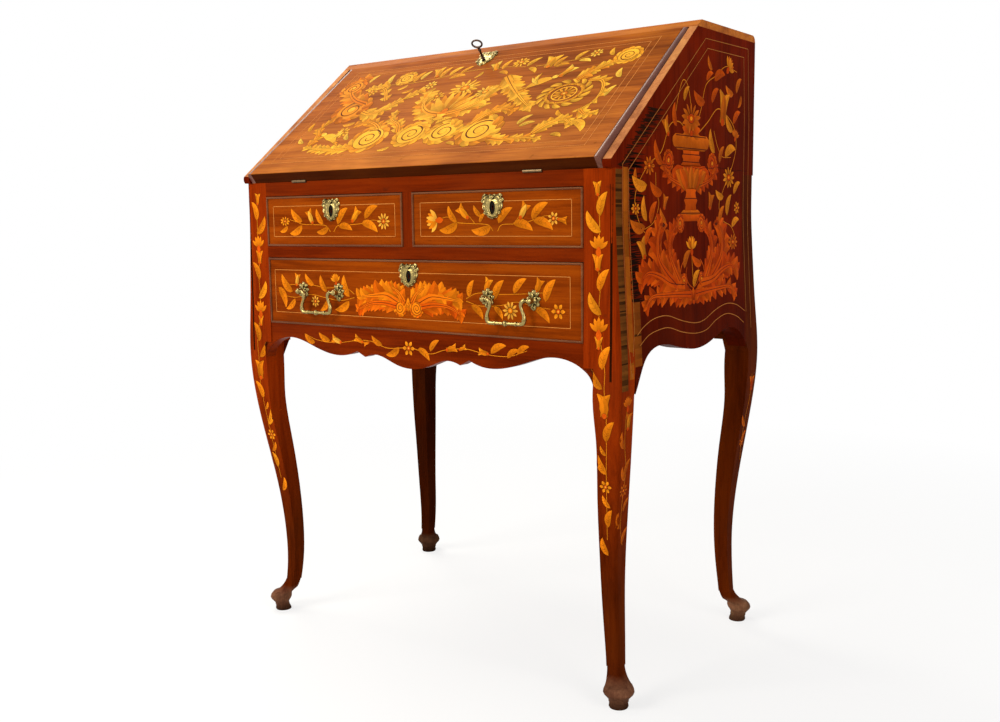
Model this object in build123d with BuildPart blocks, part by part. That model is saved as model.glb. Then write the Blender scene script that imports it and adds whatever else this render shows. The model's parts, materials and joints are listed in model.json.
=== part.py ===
"""Slant-front marquetry escritoire on cabriole legs, in millimetres.

Frame: +X to the right, +Y to the back, +Z up. The origin is on the floor, at the
centre of the bounding box. Depths are counted from the front plane, the face that the
rails, the posts and the drawer fronts share.
"""

from build123d import *
import math
import os

os.makedirs("parts", exist_ok=True)

# ---------------------------------------------------------------- overall form
case_height = 1000.0  # floor to the flat top
case_half = 365.5  # centre line to the outer face of a side
case_depth = 461.5  # front plane to the back of the sides
top_thickness = 11.0
top_depth = 213.2  # back plane to the lower front edge of the top
side_thickness = 22.0
board_gap = 0.3  # boards of one carcass, where they don't meet face to face

# ---------------------------------------------------------------- legs and posts
post_foot = 500.0  # where the square post becomes the leg
ankle_height = 55.0
knee_drop = 20.0  # uppermost section of a leg, under the post's foot
leg_shares = (0.0, 0.1059, 0.2471, 0.4353, 0.6235, 0.8118, 1.0)  # sections, ankle to knee
leg_squares = (20.5, 22.3, 24.7, 28.6, 33.2, 37.2, 42.3)  # side of each section
side_sway = (-13.5, -16.3, -16.6, -11.5, -2.1, 6.9, 11.0)  # outer face, from the case side
front_sway = (-38.0, -40.4, -37.4, -28.2, -15.2, -3.3, 2.4)  # front leg, from the front plane
rear_sway = (-17.6, -18.4, -20.4, -16.4, -7.5, 3.8, 10.6)  # rear leg, from the back plane
swell_rises = (40.0, 100.0, 180.0)  # sections of a side, above the post's foot
swell_sway = (9.0, 5.6, 1.3)  # how far the side stands out there
swell_end = 33.5  # where the side becomes upright, under the rail's top
knee_rises = (50.0, 130.0)  # sections of a post's face, above its foot
knee_fade = (0.5, 0.15)  # share of the knee's reach that is left there, to front and back
post_width = 47.0
post_depth = 42.5
arris_radius = 5.0  # outer corner of a leg
pad_offset_side = 13.0  # centre of the pad foot, outward of the ankle's centre
pad_offset_front = 14.5
pad_offset_rear = 16.6
pad_rim_radius = 23.2
pad_rim_height = 24.0
pad_base_radius = 14.6
pad_collar_height = 8.0
pad_neck_height = 33.0

# ---------------------------------------------------------------- rails and openings
apron_height = 34.2  # post's foot to the opening over the apron
long_opening_height = 112.9
middle_rail_height = 18.9
short_opening_height = 84.3
top_rail_height = 23.2
muntin_half = 9.1
apron_thickness = 20.0
apron_drop = 24.4  # the apron's middle, under the post's foot
apron_shares = (0.0, 0.113, 0.2261, 0.3077, 0.3642, 0.4867, 0.6436, 0.8226, 0.9419, 1.0)
apron_drops = (1.0, 0.738, 0.275, 0.48, 0.123, 0.52, 0.184, -0.451, -0.246, 0.164)
apron_break = 4  # point where the lower edge steps
side_arch = 28.0  # highest point of a side's lower edge, above the post's foot
side_shares = (0.1148, 0.1625, 0.2557, 0.3684, 0.494, 0.6176, 0.7519, 0.8667)
side_rises = (-0.714, 0.357, 0.839, 0.571, 0.236, 0.464, 1.0, 0.5)
side_foot_drop = 38.0  # front end of a side's lower edge, under the post's foot
side_heel_drop = 10.0  # rear end
bracket_drop = 32.0
bracket_hollow = 4.5
floor_thickness = 16.0
dust_thickness = 12.0
back_thickness = 10.0
back_inset = 2.5  # the back panel stands in from the back plane
runner_height = 14.0
runner_width = 18.5  # under a drawer, inward of the post
guide_height = 14.0

# ---------------------------------------------------------------- fall and its seat
slope_difference = 1.0  # degrees, the fall lies flatter than the cheeks
fall_thickness = 19.0
fall_margin = 23.5  # a side's outer face to the fall's panel
fall_bead = 9.0
fall_quirk_radius = 1.5  # where a bead meets the panel
cheek_width = 13.5  # raised part of a side, beside the fall
fall_top_gap = 1.2
fall_seat_gap = 0.3
hinge_forward = 0.4  # hinge axis, in front of the front plane
hinge_above = 0.4  # hinge axis, above the rail
nose_rise = 11.7  # nose of a side, above the rail
nose_reach = 6.1
nose_foot_reach = 4.2
nose_swell = 1.2
lock_rail_depth = 36.5

# ---------------------------------------------------------------- hinges
hinge_x = 235.0
hinge_length = 32.0
hinge_leaf = 22.0
leaf_thickness = 1.6
knuckle_radius = 2.6
knuckle_clearance = 0.3
hinge_pin_radius = 1.2
running_clearance = 0.05
screw_radius = 1.4
screw_head_radius = 2.6
screw_head_height = 1.4
screw_length = 11.0
screw_sides = 8

# ---------------------------------------------------------------- drawers
drawer_gap = 0.8
drawer_run_gap = 0.3
front_setback = 0.4
front_thickness = 17.6
cock_bead = 3.2
cock_bead_stand = 2.2
cock_bead_depth = 9.5
drawer_side = 8.0
drawer_bottom = 6.0
drawer_bottom_up = 4.0
drawer_side_down = 6.0  # the sides are lower than the front
drawer_length = 398.0  # from the front plane to the back of the box

# ---------------------------------------------------------------- locks and key
lock_width = 50.0
keyhole_drop = 24.0  # keyhole below the top of a drawer front
lock_height = 40.0
lock_depth = 7.5
bolt_half = 8.0
bolt_height = 20.0
bolt_thickness = 2.7
bolt_travel = 4.5
bolt_clearance = 0.3
mortise_clearance = 1.2
mortise_rest = 2.0  # what a mortise is deeper than its bolt's throw
keyhole_radius = 2.6
keyhole_slot = 8.0
escutcheon_width = 40.0
escutcheon_height = 37.0
escutcheon_thickness = 1.6
cartouche_across = (0.0, 0.24, 0.5, 0.64, 0.96, 1.0, 0.76, 0.86, 0.8, 0.52, 0.2, 0.0)
cartouche_along = (0.86, 1.0, 0.94, 0.74, 0.82, 0.5, 0.34, 0.0, -0.38, -0.72, -0.84, -1.0)
fall_lock_x = -16.0
fall_lock_down = 28.3  # keyhole below the fall's top edge
fall_lock_width = 60.0
fall_lock_height = 40.0
fall_lock_depth = 11.0
fall_bolt_half = 10.0
fall_bolt_length = 18.0
fall_bolt_low = 4.3  # faces of the bolt, above the fall's inner face
fall_bolt_high = 7.7
fall_bolt_travel = 7.0
lock_plate = 1.5
key_radius = 2.0
key_bit = 7.5
key_bit_thickness = 2.5
key_reach = 32.0  # fall's face to the centre of the bow
key_bow_half_width = 9.9
key_bow_half_height = 6.4
key_wire = 1.6
fall_escutcheon_width = 36.0
fall_escutcheon_height = 43.0

# ---------------------------------------------------------------- bail handles
bail_centre = 193.5
bail_spacing = 82.0
bail_above = 57.3  # pivot axis, above the opening's lower edge
bail_pivot_reach = 13.0  # pivot axis, in front of the front plane
bail_rod = 2.6
bail_drop = 34.0
bail_pin_radius = 1.6
handle_post_radius = 4.6
handle_reach = 18.5  # the foremost point of the whole piece
rosette_width = 24.0
rosette_height = 31.0
rosette_thickness = 2.0
rosette_lobes = 6
rosette_reach = (1.0, 0.93, 0.76, 0.93)  # shares of the rosette's size over one lobe
post_chamfer = 2.5
stud_radius = 2.5
nut_height = 4.0
bail_hook = 8.5
bail_bend = 3.0
bail_neck = 9.0  # half the height of the swan neck's bend
bail_set_back = 3.0
bail_pin_length = 4.2
bail_rings = ((0, 4.3, 5), (-5, 3.5, 2), (5, 3.5, 2), (-19, 3.5, 2), (19, 3.5, 2))

# ---------------------------------------------------------------- inner gallery
gallery_board = 6.0
gallery_end = 8.0
gallery_drawer_height = 50.0
gallery_drawer_inner = 112.0  # centre line to the partition beside a small drawer
pigeonhole_pitch = 134.0
partition_setback = 2.0
partition_hollow_share = 0.258  # of the partition's height
small_front = 10.0
small_side = 5.0
small_rear_gap = 14.0
small_bottom = 4.0
knob_radius = 6.5
knob_reach = 14.0
knob_neck = 2.5

# ---------------------------------------------------------------- worked-out places
side_inner = case_half - side_thickness
post_inner = case_half - post_width
fall_half = case_half - fall_margin
cheek_inner = case_half - cheek_width
runner_inner = post_inner - runner_width
long_opening_bottom = post_foot + apron_height
long_opening_top = long_opening_bottom + long_opening_height
short_opening_bottom = long_opening_top + middle_rail_height
short_opening_top = short_opening_bottom + short_opening_height
rail_top = short_opening_top + top_rail_height
nose_height = rail_top + nose_rise
bail_height = long_opening_bottom + bail_above
leg_rise = post_foot - knee_drop - ankle_height
leg_levels = tuple(ankle_height + share * leg_rise for share in leg_shares)
swell_levels = tuple(post_foot + rise for rise in swell_rises)
swell_top = rail_top - swell_end
knee_levels = tuple(post_foot + rise for rise in knee_rises)
rear_reach = rear_sway[0] - leg_squares[0] / 2 + pad_offset_rear + pad_rim_radius
front = (handle_reach - case_depth - rear_reach) / 2  # Y of the front plane
back = front + case_depth  # Y of the back plane
back_face = back - back_inset - back_thickness  # front of the back panel
post_back = back - post_depth  # front of the rear posts
hinge_y = front - hinge_forward
hinge_z = rail_top + hinge_above
top_under = case_height - top_thickness
nose_y = front - nose_reach
top_front = back - top_depth  # lower front edge of the top
cheek_rise = (top_under - nose_height) / (top_front - nose_y)
slope = math.atan(cheek_rise) - math.radians(slope_difference)
fall_up = Vector(0, math.cos(slope), math.sin(slope))
fall_out = Vector(0, -math.sin(slope), math.cos(slope))
fall_plane = Plane(origin=(0, hinge_y, hinge_z), x_dir=(1, 0, 0), z_dir=fall_out)
fall_length = (
    (top_front - hinge_y) * math.cos(slope)
    + (top_under - hinge_z) * math.sin(slope)
    - fall_top_gap
)
fall_lock_y = fall_length - fall_lock_down
drawer_face = front + front_setback
front_back = drawer_face + front_thickness
bolt_face = front_back + 2
bolt_rear = bolt_face + bolt_thickness
pivot_y = front - bail_pivot_reach
short_lock_x = (muntin_half + post_inner) / 2
knuckle_edge = hinge_length / 6
middle_knuckle = ((-knuckle_edge, knuckle_edge),)
middle_space = ((-knuckle_edge - knuckle_clearance, knuckle_edge + knuckle_clearance),)
outer_knuckles = (
    (-hinge_length / 2, -knuckle_edge - knuckle_clearance),
    (knuckle_edge + knuckle_clearance, hinge_length / 2),
)
outer_spaces = (
    (-hinge_length / 2, -knuckle_edge),
    (knuckle_edge, hinge_length / 2),
)


def save(part, name):
    """Label a finished piece and write it under its own name."""
    part.label = name
    export_step(part, f"parts/{name}.step")


def block(low, high, mode=Mode.ADD):
    """A board between two opposite corners, in the part in progress."""
    centre = tuple((a + b) / 2 for a, b in zip(low, high))
    with Locations(centre):
        Box(high[0] - low[0], high[1] - low[1], high[2] - low[2], mode=mode)


def block_on(plane, low, high, mode=Mode.ADD):
    """A board between two opposite corners in a plane's own axes, in the part in progress."""
    centre = tuple((a + b) / 2 for a, b in zip(low, high))
    with Locations(plane):
        with Locations(centre):
            Box(high[0] - low[0], high[1] - low[1], high[2] - low[2], mode=mode)


def make_board(low, high):
    """A board by itself, between two opposite corners."""
    with BuildPart() as board:
        block(low, high)
    return board.part


def rod(start, axis, radius, length, mode=Mode.ADD):
    """A round bar from a point along an axis, in the part in progress."""
    with Locations(Plane(origin=start, z_dir=axis)):
        Cylinder(radius, length, align=(Align.CENTER, Align.CENTER, Align.MIN), mode=mode)


# ================================================================ carcass
outer_points = [(case_half + sway, level) for sway, level in zip(side_sway, leg_levels)]
swell_points = [(case_half + sway, level) for sway, level in zip(swell_sway, swell_levels)]
swell_points.append((case_half, swell_top))
inner_points = [
    (case_half + sway - square, level)
    for sway, square, level in zip(side_sway, leg_squares, leg_levels)
]


lower_points = [
    (front + share * case_depth, post_foot + rise * side_arch)
    for share, rise in zip(side_shares, side_rises)
]
apron_points = [
    (share * post_inner, post_foot - drop * apron_drop)
    for share, drop in zip(apron_shares, apron_drops)
]


def make_side():
    """Right side: a board with a swelling outer face, shaped along its lower edge."""
    with BuildPart() as side:
        with BuildSketch(Plane.XZ):
            with BuildLine():
                swell = Spline(outer_points + swell_points, tangents=((-0.1, 1), (0, 1)))
                Polyline(
                    swell @ 1,
                    (case_half, top_under),
                    (side_inner, top_under),
                    (side_inner, post_foot),
                    (inner_points[-1][0], leg_levels[0]),
                    swell @ 0,
                )
            make_face()
        extrude(amount=case_depth + 2 * rear_reach, both=True)
        with BuildSketch(Plane.YZ):
            with BuildLine():
                lower = Spline(
                    (front + post_depth, post_foot - side_foot_drop),
                    *lower_points,
                    (post_back, post_foot - side_heel_drop),
                )
                nose = ThreePointArc(
                    (front - nose_foot_reach, rail_top),
                    (front - nose_reach - nose_swell, (rail_top + nose_height) / 2),
                    (nose_y, nose_height),
                )
                Polyline(
                    lower @ 1,
                    (post_back, rail_top),
                    (back, rail_top),
                    (back, top_under),
                    (top_front, top_under),
                    nose @ 1,
                )
                Polyline(nose @ 0, (front + post_depth, rail_top), lower @ 0)
            make_face()
        extrude(amount=2 * case_half, both=True, mode=Mode.INTERSECT)
        # rebate that the closed fall lies in
        with BuildSketch(fall_plane.offset(-fall_seat_gap)):
            with Locations((0, fall_length + fall_top_gap)):
                Rectangle(2 * cheek_inner, 2 * fall_length, align=(Align.CENTER, Align.MAX))
        extrude(amount=3 * fall_thickness, mode=Mode.SUBTRACT)
    return side.part


def leg_face(at_front):
    """Points of a leg's outward face in the YZ plane, and of the face behind it."""
    if at_front:
        outward = [(front - sway, level) for sway, level in zip(front_sway, leg_levels)]
        inward = [(y + square, z) for (y, z), square in zip(outward, leg_squares)]
    else:
        outward = [(back + sway, level) for sway, level in zip(rear_sway, leg_levels)]
        inward = [(y - square, z) for (y, z), square in zip(outward, leg_squares)]
    return outward, inward


def make_foot():
    """Turned pad foot, standing at the origin."""
    rim_neck = (pad_rim_radius - 3, pad_neck_height)
    with BuildPart() as foot:
        with BuildSketch(Plane.XZ):
            with BuildLine():
                Polyline(
                    rim_neck,
                    (0, pad_neck_height),
                    (0, 0),
                    (pad_base_radius - 1, 0),
                    (pad_base_radius, 2),
                    (pad_base_radius, pad_collar_height),
                    (pad_base_radius + 1.5, pad_collar_height + 1),
                    (pad_rim_radius - 1, pad_rim_height - 3),
                    (pad_rim_radius, pad_rim_height),
                    (pad_rim_radius - 0.8, pad_rim_height + 4),
                    rim_neck,
                )
            make_face()
        revolve(axis=Axis.Z)
    return foot.part


def make_leg(at_front):
    """Right leg and its post, sawn from one square from two sides, on a pad foot."""
    outward, inward = leg_face(at_front)
    foot = make_foot()
    plane_y = front if at_front else back
    knee_y = outward[-1][0] - plane_y
    fading = [(plane_y + share * knee_y, level) for share, level in zip(knee_fade, knee_levels)]
    inner_y = front + post_depth if at_front else post_back
    toe_y = -pad_offset_front if at_front else pad_offset_rear
    ankle = leg_squares[0]
    ankle_x = outer_points[0][0] - ankle / 2
    ankle_y = (outward[0][0] + inward[0][0]) / 2
    spread = 2 * (pad_rim_radius - 3.5)
    with BuildPart() as leg:
        with BuildSketch(Plane.XZ):
            with BuildLine():
                outer = Spline(outer_points + swell_points, tangents=((-0.1, 1), (0, 1)))
                inner = Spline(inner_points, tangents=((-0.1, 1), (0.1, 1)))
                Polyline(
                    outer @ 1,
                    (case_half, rail_top),
                    (post_inner, rail_top),
                    (post_inner, post_foot),
                    (inner_points[-1][0], post_foot),
                    inner @ 1,
                )
                Line(outer @ 0, inner @ 0)
            make_face()
        extrude(amount=case_depth + 2 * rear_reach, both=True)
        with BuildSketch(Plane.YZ):
            with BuildLine():
                face = Spline(outward + fading + [(plane_y, swell_top)])
                rear = Spline(inward)
                Polyline(
                    face @ 1,
                    (plane_y, rail_top),
                    (inner_y, rail_top),
                    (inner_y, post_foot),
                    rear @ 1,
                )
                Line(face @ 0, rear @ 0)
            make_face()
        extrude(amount=2 * case_half, both=True, mode=Mode.INTERSECT)
        long_edges = leg.edges().filter_by(lambda edge: edge.length > post_foot / 2)
        arrises = long_edges.sort_by(Axis.X)[-2:].sort_by(Axis.Y)
        fillet(arrises[0] if at_front else arrises[-1], arris_radius)
        # the ankle spreads outward into the pad
        with BuildSketch(Plane.XY.offset(leg_levels[0])):
            with Locations((ankle_x, ankle_y)):
                RectangleRounded(ankle, ankle, 3)
        with BuildSketch(Plane.XY.offset(leg_levels[0] - 10)):
            with Locations((ankle_x + pad_offset_side * 0.25, ankle_y + toe_y * 0.25)):
                RectangleRounded(ankle + 4, ankle + 4, 7)
        with BuildSketch(Plane.XY.offset(pad_neck_height)):
            with Locations((ankle_x + pad_offset_side * 0.9, ankle_y + toe_y * 0.9)):
                RectangleRounded(spread, spread, spread / 2 - 0.3)
        loft()
        with Locations((ankle_x + pad_offset_side, ankle_y + toe_y, 0)):
            add(foot)
    return leg.part


def make_knee_bracket(leg):
    """Shaped block between the apron's end and the right front leg."""
    leg_inner = inner_points[-1][0]
    with BuildPart() as bracket:
        with BuildSketch(Plane.XZ.offset(-front)):
            with BuildLine():
                Polyline(
                    (leg_inner, post_foot - bracket_drop),
                    (leg_inner, post_foot),
                    (post_inner, post_foot),
                    apron_points[-1],
                )
                ThreePointArc(
                    apron_points[-1],
                    (leg_inner - bracket_hollow, post_foot - bracket_drop / 2),
                    (leg_inner, post_foot - bracket_drop),
                )
            make_face()
        extrude(amount=-apron_thickness)
        add(leg, mode=Mode.SUBTRACT)
    return bracket.part


def make_front_apron():
    """Front apron with a serpentine lower edge, the same on both sides of the middle."""
    with BuildPart() as apron:
        with BuildSketch(Plane.XZ.offset(-front)):
            with BuildLine() as edge:
                Spline(*apron_points[:apron_break], tangents=((1, 0), (1, -0.45)))
                Line(*apron_points[apron_break - 1 : apron_break + 1])
                Spline(*apron_points[apron_break:])
                mirror(about=Plane.YZ)
                apron_end = apron_points[-1]
                Polyline(
                    apron_end,
                    (post_inner, long_opening_bottom),
                    (-post_inner, long_opening_bottom),
                    (-apron_end[0], apron_end[1]),
                )
            make_face()
        extrude(amount=-apron_thickness)
    return apron.part


def floor_between_posts(z_low, z_high):
    """A board over the whole inside of the case, cut around the rear posts."""
    with BuildPart() as floor:
        block((-side_inner, front + post_depth, z_low), (side_inner, back_face, z_high))
        for hand in (-1, 1):
            edge = sorted((hand * post_inner, hand * (side_inner + 1)))
            block(
                (edge[0], post_back, z_low), (edge[1], back_face + 1, z_high), Mode.SUBTRACT
            )
    return floor.part


def strike_seat(mode):
    """The strike plate of the fall's lock, or its seat, in the part in progress."""
    half = fall_bolt_half + 6
    face = fall_length + fall_top_gap
    block_on(
        fall_plane,
        (fall_lock_x - half, face, fall_bolt_low - 3),
        (fall_lock_x + half, face + lock_plate, fall_bolt_high + 4),
        mode,
    )


def strike_slot():
    """Slot that the fall's bolt shoots into, in the part in progress."""
    half = fall_bolt_half + mortise_clearance
    face = fall_length + fall_top_gap
    block_on(
        fall_plane,
        (fall_lock_x - half, face - 1, fall_bolt_low - mortise_clearance),
        (
            fall_lock_x + half,
            face + fall_bolt_travel + mortise_rest,
            fall_bolt_high + mortise_clearance,
        ),
        Mode.SUBTRACT,
    )


def bolt_mortise(x, z_low):
    """Slot that a drawer's bolt shoots up into, in the part in progress."""
    half = bolt_half + mortise_clearance
    block(
        (x - half, bolt_face - mortise_clearance, z_low),
        (x + half, bolt_rear + mortise_clearance, z_low + bolt_travel + mortise_rest),
        Mode.SUBTRACT,
    )


def hinge_seats():
    """Recesses for both hinges' case leaves and knuckles, in the part in progress."""
    for x in (-hinge_x, hinge_x):
        half = hinge_length / 2
        block(
            (x - half, hinge_y, rail_top - leaf_thickness),
            (x + half, front + hinge_leaf, rail_top + 1),
            Mode.SUBTRACT,
        )
        rod(
            (x - half - knuckle_clearance, hinge_y, hinge_z),
            (1, 0, 0),
            knuckle_radius + 1.5 * knuckle_clearance,
            hinge_length + 2 * knuckle_clearance,
            Mode.SUBTRACT,
        )


# ================================================================ drawers
def drawer_corners(x_low, x_high, z_low, z_high):
    """Lower left and upper right corners (x, z) of a drawer front in its opening."""
    return (
        (x_low + drawer_gap, z_low + drawer_run_gap),
        (x_high - drawer_gap, z_high - drawer_gap),
    )


def make_drawer_front(low, high, lock_x, handle_x):
    """Drawer front, rebated all round for its cock bead, with a keyhole."""
    rebate = front + cock_bead_depth
    keyhole_z = high[1] - keyhole_drop
    with BuildPart() as panel:
        block(
            (low[0] + cock_bead, drawer_face, low[1] + cock_bead),
            (high[0] - cock_bead, rebate, high[1] - cock_bead),
        )
        block((low[0], rebate, low[1]), (high[0], front_back, high[1]))
        rod((lock_x, drawer_face, keyhole_z), (0, 1, 0), keyhole_radius, 8, Mode.SUBTRACT)
        block(
            (lock_x - keyhole_radius / 2, drawer_face, keyhole_z - keyhole_slot),
            (lock_x + keyhole_radius / 2, drawer_face + 8, keyhole_z),
            Mode.SUBTRACT,
        )
        for x in handle_x:
            rod(
                (x, drawer_face, bail_height),
                (0, 1, 0),
                stud_radius + running_clearance,
                front_thickness,
                Mode.SUBTRACT,
            )
    return panel.part


def make_cock_bead(low, high):
    """Mitred bead around a drawer front, rounded where it stands proud."""
    width, height = high[0] - low[0], high[1] - low[1]
    with BuildPart() as bead:
        with BuildSketch(Plane.XZ.offset(cock_bead_stand - drawer_face)):
            with Locations(((low[0] + high[0]) / 2, (low[1] + high[1]) / 2)):
                Rectangle(width, height)
                Rectangle(width - 2 * cock_bead, height - 2 * cock_bead, mode=Mode.SUBTRACT)
        extrude(amount=drawer_face - cock_bead_stand - front - cock_bead_depth)
        fillet(bead.faces().sort_by(Axis.Y)[0].edges(), cock_bead / 2 - 0.3)
    return bead.part


def make_drawer_box(low, high):
    """Two sides, the bottom and the back of a drawer, behind its front."""
    end = front + drawer_length
    top = high[1] - drawer_side_down
    floor = low[1] + drawer_bottom_up
    inner = (low[0] + drawer_side, high[0] - drawer_side)
    corners = (
        ((low[0], front_back, low[1]), (inner[0], end, top)),
        ((inner[1], front_back, low[1]), (high[0], end, top)),
        ((inner[0], front_back, floor), (inner[1], end, floor + drawer_bottom)),
        ((inner[0], end - drawer_side, floor + drawer_bottom), (inner[1], end, top)),
    )
    return Compound([make_board(*pair) for pair in corners])


def make_drawer_lock(lock_x, top):
    """Lock case on the back of a drawer front, slotted for its bolt."""
    with BuildPart() as lock:
        block(
            (lock_x - lock_width / 2, front_back, top - lock_height),
            (lock_x + lock_width / 2, front_back + lock_depth, top),
        )
        block(
            (lock_x - bolt_half - bolt_clearance, bolt_face - bolt_clearance, top - 1.1 * bolt_height),
            (lock_x + bolt_half + bolt_clearance, bolt_rear + bolt_clearance, top + 1),
            Mode.SUBTRACT,
        )
    return lock.part


def make_escutcheon(place, width, height, rise=0.0):
    """Cartouche on a plane, pierced by a keyhole at the plane's origin."""
    right = [
        (across * width / 2, along * height / 2 + rise)
        for across, along in zip(cartouche_across, cartouche_along)
    ]
    left = [(-x, y) for x, y in reversed(right[1:-1])]
    with BuildPart() as plate:
        with BuildSketch(place):
            with BuildLine():
                Polyline(*right, *left, close=True)
            make_face()
            Circle(keyhole_radius, mode=Mode.SUBTRACT)
            with Locations((0, -keyhole_slot / 2)):
                Rectangle(keyhole_radius, keyhole_slot, mode=Mode.SUBTRACT)
        extrude(amount=escutcheon_thickness)
    return plate.part


def save_drawer(name, opening, lock_x, handle_x=()):
    """Write the front, bead, box, lock, bolt and escutcheon of a drawer."""
    low, high = drawer_corners(*opening)
    save(make_drawer_front(low, high, lock_x, handle_x), f"{name}_front")
    save(make_cock_bead(low, high), f"{name}_bead")
    save(make_drawer_box(low, high), f"{name}_box")
    save(make_drawer_lock(lock_x, high[1]), f"{name}_lock")
    bolt = make_board(
        (lock_x - bolt_half, bolt_face, high[1] - bolt_height),
        (lock_x + bolt_half, bolt_rear, high[1] - bolt_clearance),
    )
    save(bolt, f"{name}_bolt")
    place = Plane(
        origin=(lock_x, drawer_face, high[1] - keyhole_drop), x_dir=(1, 0, 0), z_dir=(0, -1, 0)
    )
    save(make_escutcheon(place, escutcheon_width, escutcheon_height), f"{name}_escutcheon")


# ================================================================ bail handles
def make_bail(centre):
    """Swan-neck bail with turned rings, hanging from two pins in its posts."""
    start = bail_spacing / 2 - handle_post_radius - 0.6
    right_half = [
        (start, 0),
        (start - bail_hook + bail_bend, 0),
        (start - bail_hook, -bail_bend),
        (start - bail_hook, -bail_neck),
        (start - bail_set_back, -2 * bail_neck),
        (start - bail_set_back, bail_bend - bail_drop),
        (start - bail_set_back - bail_bend, -bail_drop),
    ]
    path = right_half + [(-x, z) for x, z in reversed(right_half)]
    hang = Plane(origin=(centre, pivot_y, bail_height), x_dir=(1, 0, 0), z_dir=(0, -1, 0))
    with BuildPart() as bail:
        with BuildLine(hang) as wire:
            Polyline(*path)
        with BuildSketch(Plane(origin=wire.line @ 0, z_dir=wire.line % 0)):
            RegularPolygon(bail_rod, 8)
        sweep(transition=Transition.RIGHT)
        for ring_x, radius, length in bail_rings:
            rod(
                (centre + ring_x - length / 2, pivot_y, bail_height - bail_drop),
                (1, 0, 0),
                radius,
                length,
            )
        for hand in (-1, 1):
            rod(
                (centre + hand * (start - 1), pivot_y, bail_height),
                (hand, 0, 0),
                bail_pin_radius,
                bail_pin_length,
            )
    return bail.part


def make_handle_post(x, hand):
    """Post with rosette and stud; a blind hole on its inner side takes the bail's pin."""
    with BuildPart() as post:
        rod((x, front - handle_reach, bail_height), (0, 1, 0), handle_post_radius, handle_reach)
        chamfer(post.edges().sort_by(Axis.Y)[0], post_chamfer)
        with BuildSketch(Plane.XZ.offset(-drawer_face)):
            with BuildLine():
                outline = []
                steps = rosette_lobes * len(rosette_reach)
                for step in range(steps):
                    angle = 2 * math.pi * step / steps
                    share = rosette_reach[step % len(rosette_reach)] / 2
                    outline.append(
                        (
                            x + share * rosette_width * math.sin(angle),
                            bail_height + share * rosette_height * math.cos(angle),
                        )
                    )
                Polyline(*outline, close=True)
            make_face()
        extrude(amount=rosette_thickness)
        rod(
            (x, front - 1, bail_height),
            (0, 1, 0),
            stud_radius,
            1 + front_setback + front_thickness + nut_height + 1,
        )
        rod(
            (x - hand * handle_post_radius, pivot_y, bail_height),
            (hand, 0, 0),
            bail_pin_radius + running_clearance,
            handle_post_radius,
            Mode.SUBTRACT,
        )
    return post.part


def make_nut(x):
    """Nut that draws a handle post up, behind the drawer front."""
    with BuildPart() as nut:
        with BuildSketch(Plane.XZ.offset(-front_back)):
            with Locations((x, bail_height)):
                RegularPolygon(6, 6)
                Circle(stud_radius + running_clearance, mode=Mode.SUBTRACT)
        extrude(amount=-nut_height)
    return nut.part


# ================================================================ hinges
def hinge_rods(x, radius, spans, mode=Mode.ADD):
    """Rods of one hinge along its axis, in the part in progress."""
    for low, high in spans:
        rod((x + low, hinge_y, hinge_z), (1, 0, 0), radius, high - low, mode)


def screw_plane(x, on_fall):
    """Plane of a screw head's top, pointing out of the wood."""
    if on_fall:
        return Plane(
            origin=fall_plane.from_local_coords(Vector(x, hinge_leaf - 8, 0)), z_dir=-fall_out
        )
    return Plane(origin=(x, front + hinge_leaf - 8, rail_top), z_dir=(0, 0, 1))


def make_screw(clearance):
    """Countersunk screw, or the shape of its hole, with its head's top at the origin."""
    with BuildPart() as screw:
        with BuildSketch(Plane.XY):
            RegularPolygon(screw_head_radius + clearance, screw_sides)
        with BuildSketch(Plane.XY.offset(-screw_head_height)):
            RegularPolygon(screw_radius + clearance, screw_sides)
        loft()
        with BuildSketch(Plane.XY):
            RegularPolygon(screw_radius + clearance, screw_sides)
        extrude(amount=-screw_length)
    return screw.part


def screws(x, on_fall, clearance=0.0, mode=Mode.ADD):
    """Three countersunk screws of one leaf, or their holes, in the part in progress."""
    for step in (-1, 0, 1):
        with Locations(screw_plane(x + step * hinge_length / 3, on_fall)):
            add(make_screw(clearance), mode=mode)


def make_case_leaf(x):
    """Leaf let into the rail, with the outer knuckles and the pin."""
    half = hinge_length / 2
    with BuildPart() as leaf:
        block(
            (x - half, hinge_y, rail_top - leaf_thickness),
            (x + half, front + hinge_leaf, rail_top),
        )
        hinge_rods(x, knuckle_radius, outer_knuckles)
        hinge_rods(x, knuckle_radius + knuckle_clearance, middle_space, Mode.SUBTRACT)
        hinge_rods(x, hinge_pin_radius, ((-half, half),))
        screws(x, False, running_clearance, Mode.SUBTRACT)
    return leaf.part


def make_fall_leaf(x):
    """Leaf let into the fall's inner face, with the middle knuckle bored for the pin."""
    half = hinge_length / 2
    with BuildPart() as leaf:
        block_on(fall_plane, (x - half, 0, 0), (x + half, hinge_leaf, leaf_thickness))
        hinge_rods(x, knuckle_radius + knuckle_clearance, outer_spaces, Mode.SUBTRACT)
        hinge_rods(x, knuckle_radius, middle_knuckle)
        hinge_rods(x, hinge_pin_radius + running_clearance, ((-half, half),), Mode.SUBTRACT)
        screws(x, True, running_clearance, Mode.SUBTRACT)
    return leaf.part


def both_hands(make, *values):
    """The pieces that a function makes for the left and the right hinge or drawer."""
    return Compound([make(hand * values[0], *values[1:]) for hand in (-1, 1)])


save(make_side(), "side_right")
save(mirror(make_side(), about=Plane.YZ), "side_left")
for at_front, place in ((True, "front"), (False, "rear")):
    right_leg = make_leg(at_front)
    save(right_leg, f"leg_{place}_right")
    save(mirror(right_leg, about=Plane.YZ), f"leg_{place}_left")
right_bracket = make_knee_bracket(make_leg(True))
save(Compound([right_bracket, mirror(right_bracket, about=Plane.YZ)]), "knee_brackets")
save(make_front_apron(), "front_apron")

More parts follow.
